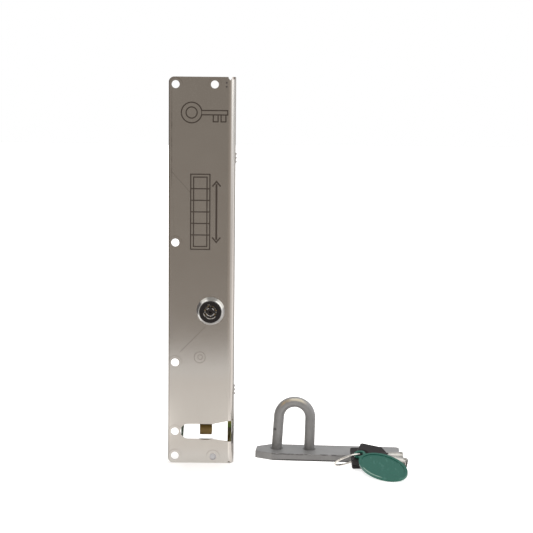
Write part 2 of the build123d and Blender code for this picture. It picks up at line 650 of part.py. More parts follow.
def motor_bracket():
    """Shelf that the gear motor is screwed to, with its tab on the chassis web."""
    low, high = MOTOR_Z - BRACKET_T, MOTOR_Z
    right = SCREW_X + MOTOR / 2 + 3
    shelf = block(ROOM_LEFT + SLIDE_GAP, right, ROOM_FRONT, SCREW_Y + 9, low, high)
    tab = block(ROOM_LEFT + SLIDE_GAP, right, ROOM_FRONT, ROOM_FRONT + BRACKET_T, low - 14, low)
    bracket = fillet((shelf + tab).edges().filter_by(Axis.Z).group_by(Axis.Y)[-1], 3)
    bracket = bracket - post(SCREW_X, SCREW_Y, 0, CASE_TOP, SHAFT + 3)
    for x, z in bracket_screw_places():
        bracket = bracket - bore(x, z, 0, ROOM_FRONT + 3, SMALL_SCREW + SMALL_GAP)
    for x in motor_screw_x():
        bracket = bracket - post(x, SCREW_Y, low - 1, high + 1, 2.1)
    return bracket


def bracket_screw_places():
    """Screws of both brackets, as x and z."""
    z = MOTOR_Z - BRACKET_T - 8
    return [(ROOM_LEFT + 4, z), (SCREW_X + MOTOR / 2 - 1, z), (SCREW_X, BEARING_Z - 6)]


def motor_screw_x():
    """Screws of the gear motor, across."""
    return (SCREW_X - 5.2, SCREW_X + 5.2)


def bracket_screws():
    """Screws of both brackets, from inside into the web."""
    screw = Rot(-90, 0, 0) * pan_screw(BRACKET_T + CHASSIS_T - SMALL_GAP)
    return [Pos(x, ROOM_FRONT + BRACKET_T, z) * screw for x, z in bracket_screw_places()]


def motor_screws():
    """Two small screws from below into the gearbox."""
    screws = []
    for x in motor_screw_x():
        head = post(x, SCREW_Y, MOTOR_Z - BRACKET_T - 1.2, MOTOR_Z - BRACKET_T, 3.4)
        screws.append(head + post(x, SCREW_Y, MOTOR_Z - BRACKET_T, MOTOR_Z + 3, 2))
    return screws


def gearbox():
    """Planetary gearbox, screwed to the bracket."""
    body = post(SCREW_X, SCREW_Y, MOTOR_Z, MOTOR_Z + MOTOR_L * 0.45, MOTOR)
    body = chamfer(body.edges().filter_by(GeomType.CIRCLE), 0.4)
    body = body - post(SCREW_X, SCREW_Y, 0, MOTOR_Z + 6, SHAFT + 2 * TURN_GAP)
    for x in motor_screw_x():
        body = body - post(x, SCREW_Y, MOTOR_Z - 1, MOTOR_Z + 3.5, 2)
    return body


def motor():
    """Motor can with its end bell and two terminals."""
    low, high = MOTOR_Z + MOTOR_L * 0.45, MOTOR_Z + MOTOR_L
    can = post(SCREW_X, SCREW_Y, low, high - 3, MOTOR - 0.6)
    can = can + post(SCREW_X, SCREW_Y, high - 3, high, MOTOR - 2)
    can = chamfer(can.edges().filter_by(GeomType.CIRCLE).group_by(Axis.Z)[-1], 0.6)
    boss = post(SCREW_X, SCREW_Y, high, high + 1.5, 5)
    tags = [block(x - 0.25, x + 0.25, SCREW_Y - 1.2, SCREW_Y + 1.2, high, high + 4) for x in (SCREW_X - 5, SCREW_X + 5)]
    return can + boss + tags[0] + tags[1]


def cylinder_body():
    """Chrome cylinder housing: conical head, flatted body, bore for the plug."""
    half = CYL_HEAD / 2
    rim = CYL_RIM / 2
    profile = Polyline(
        (0, 0),
        (half, 0),
        (half, 1),
        (rim, CYL_PROUD - CYL_BEVEL),
        (rim - CYL_BEVEL, CYL_PROUD),
        (0, CYL_PROUD),
        close=True,
    )
    head = revolve(Rot(90, 0, 0) * make_face(profile), Axis.Z)
    head = Pos(CYL_X, 0, CYL_Z) * Rot(90, 0, 0) * head
    shank = bore(CYL_X, CYL_Z, 0, CYL_DEEP, CYL_BODY)
    half_flat = CYL_FLATS / 2
    keep = block(CYL_X - 20, CYL_X + 20, -1, 20, CYL_Z - half_flat, CYL_Z + half_flat)
    body = head + (shank & keep)
    body = body - bore(CYL_X, CYL_Z, -CYL_PROUD - 1, -CYL_PROUD + FACE_T, FACE_DISC + 2 * SMALL_GAP)
    body = body - bore(CYL_X, CYL_Z, -CYL_PROUD, CYL_DEEP - TAIL_WALL, PLUG)
    return body - bore(CYL_X, CYL_Z, 0, CYL_DEEP + 1, TAIL + 2 * TURN_GAP)


def cylinder_face():
    """Black face disc with the round keyway and its locating notch."""
    front = -CYL_PROUD - FACE_PROUD
    disc = bore(CYL_X, CYL_Z, front, -CYL_PROUD + FACE_T, FACE_DISC)
    disc = chamfer(disc.edges().group_by(Axis.Y)[0], 0.5)
    notch = Pos(CYL_X, 0, CYL_Z) * Rot(0, -15, 0) * block(-1, 1, front - 1, 0, 0, KEYWAY / 2 + 1.3)
    return disc - bore(CYL_X, CYL_Z, front - 1, 0, KEYWAY) - notch


def cylinder_nut():
    """Hex nut that clamps the cylinder against the chassis web."""
    face = Rot(0, 0, 30) * RegularPolygon(CYL_NUT_FLATS / 2, 6, major_radius=False)
    nut = front_to_back(face, 0, CYL_NUT_H)
    nut = Pos(CYL_X, ROOM_FRONT, CYL_Z) * nut
    return nut - bore(CYL_X, CYL_Z, 0, ROOM_FRONT + CYL_NUT_H + 1, CYL_BODY + 2 * SMALL_GAP)


def cylinder_plug():
    """Turning plug with its centre post in front and its square tail behind."""
    plug = bore(CYL_X, CYL_Z, PLUG_TOP, CYL_DEEP - TAIL_WALL - SMALL_GAP, PLUG - 2 * TURN_GAP)
    centre = bore(CYL_X, CYL_Z, -CYL_PROUD + 0.2, PLUG_TOP, POST)
    centre = chamfer(centre.edges().group_by(Axis.Y)[0], 0.5)
    tail = bore(CYL_X, CYL_Z, CYL_DEEP - TAIL_WALL - SMALL_GAP, CAM_FRONT - 0.1, TAIL)
    side = TAIL_SQUARE / 2
    square = block(CYL_X - side, CYL_X + side, CAM_FRONT - 0.1, CAM_FRONT + CAM_T, CYL_Z - side, CYL_Z + side)
    plug = plug + centre + tail + square
    plug = plug - bore(CYL_X, CYL_Z, -CYL_PROUD, -CYL_PROUD + 3, 2.4)
    for x, z in pin_places():
        plug = plug - bore(x, z, PLUG_TOP - 1, PLUG_TOP + 4, PIN)
    return plug - bore(CYL_X, CYL_Z, CAM_FRONT - 4, CAM_FRONT + 5, 2.5)


def pin_places():
    """Tumbler pins on their circle, as x and z."""
    circle = (KEYWAY + POST) / 4
    places = []
    for n in range(PIN_COUNT):
        angle = math.radians(90 + 360 * (n + 0.5) / PIN_COUNT)
        places.append((CYL_X + circle * math.cos(angle), CYL_Z + circle * math.sin(angle)))
    return places


def tumbler_pins():
    """Seven pins round the post, at the bottom of the keyway."""
    pins = []
    for x, z in pin_places():
        pin = bore(x, z, PLUG_TOP - 1.6, PLUG_TOP + 4, PIN)
        pins.append(chamfer(pin.edges().group_by(Axis.Y)[0], 0.3))
    return pins


def involute(angle):
    """A point of the cam's lifting edge, as x and z from the cam's axis, for a roll angle in radians."""
    start = math.pi - CAM_START
    turn = start + angle
    x = CAM_BASE_R * (math.cos(turn) + angle * math.sin(turn))
    z = CAM_BASE_R * (math.sin(turn) - angle * math.cos(turn))
    return (x, z)


def lifting_cam():
    """Cam whose involute edge lifts the bolt's lug evenly as the key turns."""
    last = CAM_START + math.radians(KEY_TURN)
    steps = 8
    edge = [involute(CAM_START / 2 + (last - CAM_START / 2) * n / steps) for n in range(steps + 1)]
    tip = edge[-1]
    heel = (tip[0] + 2.2, tip[1] - 1.6)
    nose = make_face([Spline(*edge), Line(tip, heel), Line(heel, (0, -CAM_HUB / 2)), Line((0, -CAM_HUB / 2), edge[0])])
    flat = nose + Circle(CAM_HUB / 2)
    cam = Pos(CYL_X, CAM_FRONT, CYL_Z) * front_to_back(flat, 0, CAM_T - 0.2)
    square = (TAIL_SQUARE + SMALL_GAP) / 2
    return cam - block(CYL_X - square, CYL_X + square, CAM_FRONT - 1, CAM_FRONT + 5, CYL_Z - square, CYL_Z + square)


def cam_screw():
    """Screw and washer that hold the cam on the tail."""
    back = CAM_FRONT + CAM_T
    head = bore(CYL_X, CYL_Z, back, back + 2.2, 7.5)
    head = chamfer(head.edges().group_by(Axis.Y)[-1], 0.5)
    return head + bore(CYL_X, CYL_Z, CAM_FRONT - 3, back, 2.4)


def board_hole_places():
    """Fixing holes of the circuit board, as y and z."""
    return [(y, z) for y in (BOARD_Y0 + 4, BOARD_Y1 - 4) for z in (BOARD_LOW + 4, BOARD_LOW + BOARD_H - 4)]


def circuit_board():
    """Drive board on edge beside the right wall."""
    board = block(BOARD_X, BOARD_X + BOARD_T, BOARD_Y0, BOARD_Y1, BOARD_LOW, BOARD_LOW + BOARD_H)
    for y, z in board_hole_places():
        board = board - cross_bar(y, z, 0, PLATE_W, SMALL_SCREW + SMALL_GAP)
    return board


def board_spacers():
    """Four spacers between the board and the chassis wall."""
    return [cross_bar(y, z, BOARD_X + BOARD_T, ROOM_RIGHT, 5) for y, z in board_hole_places()]


def board_screws():
    """Four screws into the spacers."""
    screw = Rot(0, -90, 0) * pan_screw(BOARD_T - SMALL_GAP)
    return [Pos(BOARD_X, y, z) * screw for y, z in board_hole_places()]


def terminal_block():
    """Two-way terminal block at the board's upper end, beside the cable entry."""
    z0 = BOARD_LOW + BOARD_H - 24
    y0, y1 = (BOARD_Y0 + BOARD_Y1) / 2 - 5.2, (BOARD_Y0 + BOARD_Y1) / 2 + 5.2
    body = block(BOARD_X - 10, BOARD_X, y0, y1, z0, z0 + 11)
    body = chamfer(body.edges().filter_by(Axis.Y).group_by(Axis.X)[0], 1.2)
    for y in (y0 + 2.7, y1 - 2.7):
        body = body - block(BOARD_X - 8, BOARD_X - 3, y - 1.6, y + 1.6, z0 + 5, z0 + 12)
        body = body - cross_bar(y, z0 + 4, BOARD_X - 11, BOARD_X - 7, 3)
    return body


def relay():
    """Sealed relay on the board."""
    y = (BOARD_Y0 + BOARD_Y1) / 2
    z0 = BOARD_LOW + 32
    case = block(BOARD_X - 12, BOARD_X, y - 7.5, y + 7.5, z0, z0 + 19)
    return fillet(case.edges().filter_by(Axis.X), 1)


def capacitor():
    """Smoothing capacitor, standing off the board."""
    can = cross_bar((BOARD_Y0 + BOARD_Y1) / 2, BOARD_LOW + 19, BOARD_X - 13, BOARD_X, 10)
    return chamfer(can.edges().group_by(Axis.X)[0], 0.7)


def switch_heights():
    """Lower ends of the two limit switches."""
    upper = CARRIAGE_PIN_Z + BOLT_TRAVEL
    return (CARRIAGE_PIN_Z - SWITCH_L * 0.62, upper - SWITCH_L * 0.1)


def limit_switches():
    """Two microswitches on the right wall, for bolt out and bolt drawn."""
    switches = []
    for n, z0 in enumerate(switch_heights()):
        body = block(SWITCH_FACE, ROOM_RIGHT, SWITCH_Y, SWITCH_Y + SWITCH_D, z0, z0 + SWITCH_L)
        for z in (z0 + 5, z0 + SWITCH_L - 5):
            body = body - cross_bar(SWITCH_Y + 3, z, 0, PLATE_W, 2.2)
        contact = CARRIAGE_PIN_Z + n * BOLT_TRAVEL
        lever_y = SWITCH_Y + LEVER_IN
        lever = block(SWITCH_FACE - LEVER_T, SWITCH_FACE, lever_y, lever_y + LEVER_W, contact - 5, contact + 5)
        switches.append(body + lever)
    return switches


def switch_screws():
    """Screws that hold the switches to the wall."""
    screws = []
    for z0 in switch_heights():
        for z in (z0 + 5, z0 + SWITCH_L - 5):
            shank = cross_bar(SWITCH_Y + 3, z, SWITCH_FACE, ROOM_RIGHT, 2)
            screws.append(shank + cross_bar(SWITCH_Y + 3, z, SWITCH_FACE - 1.3, SWITCH_FACE, 3.8))
    return screws


def cable_grommet():
    """Rubber grommet in the top flange, where the supply cable enters."""
    top, low = CASE_TOP, CASE_TOP - CHASSIS_T
    section = Polyline(
        (GROMMET_BORE / 2, low - 2.2),
        (GROMMET_NECK / 2 + 1.6, low - 2.2),
        (GROMMET_NECK / 2 + 1.8, low),
        (GROMMET_NECK / 2, low),
        (GROMMET_NECK / 2, top),
        (GROMMET_NECK / 2 + 1.8, top),
        (GROMMET_NECK / 2 + 1.2, top + 2.4),
        (GROMMET_BORE / 2, top + 2.4),
        close=True,
    )
    ring = revolve(Rot(90, 0, 0) * make_face(section), Axis.Z)
    return Pos(GROMMET_X, GROMMET_Y, 0) * ring


def bar_place(shape):
    """Moves a shape from the bar's own corner to where the bar lies on the floor."""
    return Pos(BAR_LEFT, BAR_FRONT, 0) * Rot(0, 0, BAR_YAW) * shape


def striker_bar():
    """Sawn flat steel bar with two cropped corners and holes for the hoop's feet."""
    outline = Polyline(
        (CROP_FRONT_ALONG, 0),
        (BAR_L, 0),
        (BAR_L, BAR_W),
        (CROP_REAR_ALONG, BAR_W),
        (0, BAR_W - CROP_ACROSS),
        (0, CROP_ACROSS),
        close=True,
    )
    bar = extrude(make_face(outline), BAR_T)
    bar = fillet([e for e in bar.edges().filter_by(Axis.Z) if e.center().X > BAR_L - 0.1], BAR_END_R)
    cropped = [e for e in bar.edges().filter_by(Axis.Z) if e.center().X < CROP_FRONT_ALONG + 1]
    bar = fillet(cropped, BAR_SAWN_R)
    bar = chamfer(bar.faces().sort_by(Axis.Z)[-1].edges(), BAR_TOP_BREAK)
    for leg in hoop_legs(HOOP_ROD + 2 * SMALL_GAP):
        bar = bar - leg
    return bar_place(bar)


def hoop_arc():
    """The crown's arc, tangent to both leaning legs: centre along the bar, centre height, radius."""
    left, right = math.radians(HOOP_LEAN_LEFT), math.radians(HOOP_LEAN_RIGHT)
    top = HOOP_H - HOOP_ROD / 2
    half = HOOP_W / 2
    across = (math.cos(left), math.cos(right))
    rise = (1 - math.sin(left), 1 + math.sin(right))
    known = (half * across[0] - top * math.sin(left), half * across[1] + top * math.sin(right))
    radius = (known[0] / across[0] + known[1] / across[1]) / (rise[0] / across[0] + rise[1] / across[1])
    centre = (rise[0] * radius - known[0]) / across[0]
    return centre, top - radius, radius


def hoop_bends():
    """Where the legs run into the crown, left and right, as along the bar and height over it."""
    left, right = math.radians(HOOP_LEAN_LEFT), math.radians(HOOP_LEAN_RIGHT)
    centre, height, radius = hoop_arc()
    return (
        (centre - radius * math.cos(left), height + radius * math.sin(left)),
        (centre + radius * math.cos(right), height - radius * math.sin(right)),
    )


def hoop_legs(diameter):
    """Two round bars along the hoop's leaning legs, through the flat bar."""
    legs = []
    for foot, lean in ((-HOOP_W / 2, HOOP_LEAN_LEFT), (HOOP_W / 2, HOOP_LEAN_RIGHT)):
        leg = Cylinder(diameter / 2, 4 * BAR_T)
        legs.append(Pos(HOOP_FROM_LEFT + foot, HOOP_FROM_FRONT, BAR_T) * Rot(0, lean, 0) * leg)
    return legs


def striker_hoop():
    """Round rod bent to a U that leans a little, its feet through the bar."""
    start, end = hoop_bends()
    centre, height, radius = hoop_arc()
    lean = math.tan(math.radians(HOOP_LEAN_LEFT)), math.tan(math.radians(HOOP_LEAN_RIGHT))
    deep = BAR_T + 1
    left_foot = (-HOOP_W / 2 - deep * lean[0], -deep)
    right_foot = (HOOP_W / 2 - deep * lean[1], -deep)
    crown = ThreePointArc(start, (centre, height + radius), end)
    path = Line(left_foot, start) + crown + Line(end, right_foot)
    path = Rot(90, 0, 0) * path
    section = Plane((left_foot[0], 0, left_foot[1]), z_dir=path % 0) * Circle(HOOP_ROD / 2)
    rod = sweep(section, path=path)
    rod = rod - block(-BAR_L, BAR_L, -BAR_W, BAR_W, -4 * BAR_T, -BAR_T)
    return bar_place(Pos(HOOP_FROM_LEFT, HOOP_FROM_FRONT, BAR_T) * rod)


def placed(shape, place):
    """Turns a shape by roll, dip and turn, then carries it to its place."""
    x, y, z, turn, dip, roll = place
    return Pos(x, y, z) * Rot(0, 0, turn) * Rot(0, dip, 0) * Rot(roll, 0, 0) * shape


def key_head(place):
    """Moulded key head: flat grip with shoulders that thicken towards the barrel."""
    half = KEY_W / 2
    neck = BARREL / 2 + 1.1
    grip = extrude(
        make_face(
            Polyline(
                (0, -half),
                (KEY_SHOULDER, -half),
                (KEY_HEAD_L, -neck),
                (KEY_HEAD_L, neck),
                (KEY_SHOULDER, half),
                (0, half),
                close=True,
            )
        ),
        KEY_T / 2,
        both=True,
    )
    uprights = grip.edges().filter_by(Axis.Z)
    grip = fillet([e for e in uprights if e.center().X < 1], KEY_CORNER_R)
    uprights = grip.edges().filter_by(Axis.Z)
    grip = fillet([e for e in uprights if abs(e.center().X - KEY_SHOULDER) < 1], KEY_SHOULDER_R)
    grip = chamfer(grip.faces().filter_by(Axis.Z).edges(), 0.5)
    slim = Plane((KEY_SHOULDER - 3, 0, 0), x_dir=(0, 1, 0), z_dir=(1, 0, 0)) * RectangleRounded(
        2 * neck, KEY_T - 1, 0.4 * (KEY_T - 1)
    )
    full = Plane((KEY_HEAD_L, 0, 0), x_dir=(0, 1, 0), z_dir=(1, 0, 0)) * RectangleRounded(
        2 * neck, BARREL + 0.4, 3.5
    )
    head = grip + loft([slim, full])
    hole = Pos(KEY_HOLE_IN, 0, 0)
    dish = revolve(
        Rot(90, 0, 0)
        * make_face(
            Polyline(
                (0, -KEY_T),
                (KEY_HOLE / 2 + 1.6 + KEY_T / 2, -KEY_T),
                (KEY_HOLE / 2, -0.9),
                (KEY_HOLE / 2, 0.9),
                (KEY_HOLE / 2 + 1.6 + KEY_T / 2, KEY_T),
                (0, KEY_T),
                close=True,
            )
        ),
        Axis.Z,
    )
    return placed(head - hole * dish, place)


def key_barrel(place):
    """Nickel tube with its bitted end and locating tooth."""
    tube = Rot(0, 90, 0) * Cylinder(BARREL / 2, KEY_L - KEY_HEAD_L)
    tube = Pos((KEY_L + KEY_HEAD_L) / 2, 0, 0) * tube
    tube = chamfer(tube.edges().filter_by(GeomType.CIRCLE).group_by(Axis.X)[-1], 0.4)
    hollow = Rot(0, 90, 0) * Cylinder(BARREL_BORE / 2, 9)
    tube = tube - Pos(KEY_L - 4.4, 0, 0) * hollow
    wall = (BARREL + BARREL_BORE) / 4
    for n in range(PIN_COUNT):
        angle = 360 * (n + 0.5) / PIN_COUNT
        depth = 0.9 + 0.35 * ((3 * n) % 4)
        bit = Rot(0, 90, 0) * Cylinder(0.7, 2 * depth)
        tube = tube - Rot(angle, 0, 0) * Pos(KEY_L, 0, wall + 0.35) * bit
    tooth = Pos(KEY_L - 1.4, 0, BARREL / 2 + 0.3) * Box(2.4, 1.6, 0.8)
    return placed(tube + tooth, place)


def key_1_head():
    """Head of the key that lies along the bar."""
    return key_head(KEY_PLACES[0])


def key_1_barrel():
    """Barrel of the first key."""
    return key_barrel(KEY_PLACES[0])


def key_2_head():
    """Head of the nearer key, which leans on the first."""
    return key_head(KEY_PLACES[1])


def key_2_barrel():
    """Barrel of the second key."""
    return key_barrel(KEY_PLACES[1])


def key_tag():
    """Oval plastic tag with raised rims and a loop."""
    body = extrude(Ellipse(TAG_L / 2, TAG_W / 2), TAG_T / 2, both=True)
    tab = Pos(-TAG_HOLE_OUT / 2 - TAG_L / 4, 0) * Rectangle(TAG_HOLE_OUT - TAG_L / 2 + 1, TAG_LOOP * 0.8)
    loop = tab + Pos(-TAG_HOLE_OUT, 0) * Circle(TAG_LOOP / 2)
    body = body + extrude(loop, TAG_LOOP_T / 2, both=True)
    for side in (-1, 1):
        floor_z = side * (TAG_T / 2 - TAG_RIM / 2)
        body = body - Pos(0, 0, floor_z) * extrude(
            Ellipse(TAG_L / 2 - 2.2, TAG_W / 2 - 2.2), TAG_RIM / 2 + 0.001, both=True
        )
    body = body - Pos(-TAG_HOLE_OUT, 0, 0) * Cylinder(TAG_HOLE / 2, 2 * TAG_T)
    return placed(body, TAG_PLACE)


def split_ring():
    """Split ring: flat wire in two turns, joined by a short climb."""
    middle = (RING_OD - RING_WIRE_W) / 2
    ring = Cylinder(RING_OD / 2, 2 * RING_WIRE_H) - Cylinder(RING_OD / 2 - RING_WIRE_W, 4 * RING_WIRE_H)
    ring = chamfer(ring.edges().filter_by(GeomType.CIRCLE), 0.2)
    groove = Cylinder(RING_OD, 0.12) - Cylinder(RING_OD / 2 - 0.3, 1)
    groove = groove - Rot(0, 0, 150) * Pos(middle, 0, 0) * Box(4, 4, 1)
    end = Rot(0, 0, 170) * Pos(middle, 0, RING_WIRE_H / 2) * Box(RING_WIRE_W + 1, 0.4, RING_WIRE_H)
    return placed(ring - groove - end, RING_PLACE)


NODES = {
    "front_plate": front_plate,
    "chassis": chassis,
    "back_cover": back_cover,
    "cover_screws": cover_screws,
    "keeper_block": keeper_block,
    "keeper_rim": keeper_rim,
    "keeper_screws": keeper_screws,
    "bolt_guide": bolt_guide,
    "guide_screws": guide_screws,
    "bolt": bolt,
    "carriage": carriage,
    "lead_nut": lead_nut,
    "carriage_pin": carriage_pin,
    "bolt_spring": bolt_spring,
    "bearing_bracket": bearing_bracket,
    "screw_bush": screw_bush,
    "lead_screw": lead_screw,
    "screw_coupler": screw_coupler,
    "motor_shaft": motor_shaft,
    "motor_bracket": motor_bracket,
    "bracket_screws": bracket_screws,
    "motor_screws": motor_screws,
    "gearbox": gearbox,
    "motor": motor,
    "cylinder_body": cylinder_body,
    "cylinder_face": cylinder_face,
    "cylinder_nut": cylinder_nut,
    "cylinder_plug": cylinder_plug,
    "tumbler_pins": tumbler_pins,
    "lifting_cam": lifting_cam,
    "cam_screw": cam_screw,
    "circuit_board": circuit_board,
    "board_spacers": board_spacers,
    "board_screws": board_screws,
    "terminal_block": terminal_block,
    "relay": relay,
    "capacitor": capacitor,
    "limit_switches": limit_switches,
    "switch_screws": switch_screws,
    "cable_grommet": cable_grommet,
    "tack_welds": tack_welds,
    "striker_bar": striker_bar,
    "striker_hoop": striker_hoop,
    "split_ring": split_ring,
    "key_1_head": key_1_head,
    "key_1_barrel": key_1_barrel,
    "key_2_head": key_2_head,
    "key_2_barrel": key_2_barrel,
    "key_tag": key_tag,
}


def main():
    """Builds every node and writes it, moved to the bolt's axis."""
    os.makedirs("parts", exist_ok=True)
    to_origin = Pos(-BOLT_X, -BOLT_Y, -SLOT_MID)
    for name, make in NODES.items():
        made = make()
        solids = made if isinstance(made, list) else [made]
        moved = [to_origin * solid for solid in solids]
        shape = moved[0] if len(moved) == 1 else Compound(children=[Solid(s.solid().wrapped) for s in moved])
        export_step(shape, f"parts/{name}.step")


main()
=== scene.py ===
"""Electric gate lock with its striker and keys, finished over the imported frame. Metres, +Z up."""
import math

import bmesh
import bpy
from mathutils import Matrix, Vector


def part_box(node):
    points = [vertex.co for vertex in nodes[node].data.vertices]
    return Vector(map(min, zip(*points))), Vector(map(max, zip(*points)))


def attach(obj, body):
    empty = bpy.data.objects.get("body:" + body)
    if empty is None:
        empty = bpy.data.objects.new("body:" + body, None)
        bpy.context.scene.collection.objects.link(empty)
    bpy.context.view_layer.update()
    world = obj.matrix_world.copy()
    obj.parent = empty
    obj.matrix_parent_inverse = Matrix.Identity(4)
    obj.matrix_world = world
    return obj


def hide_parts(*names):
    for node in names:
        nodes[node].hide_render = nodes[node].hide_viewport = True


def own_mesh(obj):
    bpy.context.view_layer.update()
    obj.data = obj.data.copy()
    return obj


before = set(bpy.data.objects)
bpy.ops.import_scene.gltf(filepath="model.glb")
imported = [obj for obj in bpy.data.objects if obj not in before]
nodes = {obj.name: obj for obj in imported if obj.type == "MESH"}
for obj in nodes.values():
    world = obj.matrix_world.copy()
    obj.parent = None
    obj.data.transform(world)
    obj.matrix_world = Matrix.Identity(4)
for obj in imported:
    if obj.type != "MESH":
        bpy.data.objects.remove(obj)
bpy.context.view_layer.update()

# Studio: a pale table whose front edge lies half a metre before the lock, with soft boxes above
# it and on both sides. The room beyond the table's edge is dim, which is what the brushed plate
# mirrors. The camera stands where the photograph's did, with the same long lens.
FLOOR_Z = -0.0272
TABLE_EDGE_Y = -0.530
TABLE_BACK_Y = 6.0
TABLE_HALF_WIDTH = 4.0
TABLE_COLOUR = (0.755, 0.735, 0.715)
PHOTO_PX = 533.0
FOCAL_PX = 1559.0
SHIFT_PX = (0.1, 0.4)
SENSOR = 36.0
CAMERA_AT = (0.0508, -1.322, 0.3013)
CAMERA_DIP = math.radians(7.0)
CAMERA_ROLL = math.radians(0.55)

scene = bpy.context.scene
scene.view_settings.view_transform = "Standard"
scene.view_settings.look = "None"


class Link:
    """One output of a node. Sums written on it add the nodes that work them out."""

    def __init__(self, tree, out):
        self.tree = tree
        self.out = out

    def op(self, name, *others, swap=False):
        """A sum of this and the others: Vector Math for vectors, Mix for colours, else Math."""
        parts = [self, *others]
        if swap:
            parts.reverse()
        kinds = [kind_of(part) for part in parts]
        if "RGBA" in kinds:
            return blend_colours(self.tree, name, *parts)
        if "VECTOR" in kinds and name == "MULTIPLY" and kinds[1] == "VALUE":
            scaled = {0: parts[0], 3: parts[1]}
            return add_node(self.tree, "ShaderNodeVectorMath", {"operation": "SCALE"}, scaled)
        kind = "ShaderNodeVectorMath" if "VECTOR" in kinds else "ShaderNodeMath"
        return add_node(self.tree, kind, {"operation": name}, dict(enumerate(parts)))

    def __add__(self, other):
        return self.op("ADD", other)

    def __radd__(self, other):
        return self.op("ADD", other, swap=True)

    def __sub__(self, other):
        return self.op("SUBTRACT", other)

    def __rsub__(self, other):
        return self.op("SUBTRACT", other, swap=True)

    def __mul__(self, other):
        return self.op("MULTIPLY", other)

    def __rmul__(self, other):
        return self.op("MULTIPLY", other)

    def __truediv__(self, other):
        return self.op("DIVIDE", other)

    def __rtruediv__(self, other):
        return self.op("DIVIDE", other, swap=True)

    def __pow__(self, other):
        return self.op("POWER", other)

    def step(self, low, high):
        """0 below low and 1 above high, with a soft rise; the other way round if low is above high."""
        floor, ceiling = (0.0, 1.0) if low < high else (1.0, 0.0)
        ends = {1: min(low, high), 2: max(low, high), 3: floor, 4: ceiling}
        soft = {"interpolation_type": "SMOOTHSTEP"}
        return add_node(self.tree, "ShaderNodeMapRange", soft, {0: self, **ends})

    def within(self, start, full, fading, end):
        """1 from full to fading, with soft flanks down to 0 at start and end."""
        return self.step(start, full) * self.step(end, fading)

    def ramp(self, *stops):
        """Colours along this value, as (place, (r, g, b)) stops."""
        return add_node(self.tree, "ShaderNodeValToRGB", {"stops": stops}, {0: self})

    def mottle(self, dark, pale):
        """Dark in a noise's hollows, pale on its heights."""
        return self.ramp((0.30, dark), (0.70, pale))

    def between(self, low, high):
        """Low where this is 0 and high where it is 1, for colours or for numbers."""
        if kind_of(low) == kind_of(high) == "VALUE":
            return self * (high - low) + low
        return add_node(self.tree, "ShaderNodeMix", {"data_type": "RGBA"}, {0: self, 6: low, 7: high}, 2)

    def split(self):
        """The x, y and z of a vector, each as a number."""
        cut = add_node(self.tree, "ShaderNodeSeparateXYZ", {}, {0: self})
        return [Link(self.tree, out) for out in cut.out.node.outputs]


def kind_of(part):
    """What a part of a sum is: VALUE for a number, VECTOR for a tuple, or the link's own kind."""
    if isinstance(part, Link):
        return part.out.type
    return "VECTOR" if isinstance(part, tuple) else "VALUE"


def add_node(tree, kind, settings, values, out=0):
    """A node of one kind, its settings first and then the values or links of its sockets."""
    node = tree.nodes.new(kind)
    for key, value in settings.items():
        if key == "stops":
            elements = node.color_ramp.elements
            for end in (0, -1):
                elements[end].position = value[end][0]
                elements[end].color = (*value[end][1], 1.0)
            for place, colour in value[1:-1]:
                elements.new(place).color = (*colour, 1.0)
        else:
            setattr(node, key, value)
    for key, value in values.items():
        socket = node.inputs[key]
        if isinstance(value, Link):
            tree.links.new(value.out, socket)
        elif socket.type == "RGBA" and len(value) == 3:
            socket.default_value = (*value, 1.0)
        else:
            socket.default_value = value
    return Link(tree, node.outputs[out])


def blend_colours(tree, name, first, second):
    """Two colours, or a colour and a number, multiplied or added."""
    def as_colour(part):
        return (part, part, part) if isinstance(part, (int, float)) else part

    mode = {"data_type": "RGBA", "blend_type": name}
    return add_node(tree, "ShaderNodeMix", mode, {0: 1.0, 6: as_colour(first), 7: as_colour(second)}, 2)


def union(marks):
    """The strongest of several marks."""
    whole = marks[0]
    for mark in marks[1:]:
        whole = whole.op("MAXIMUM", mark)
    return whole


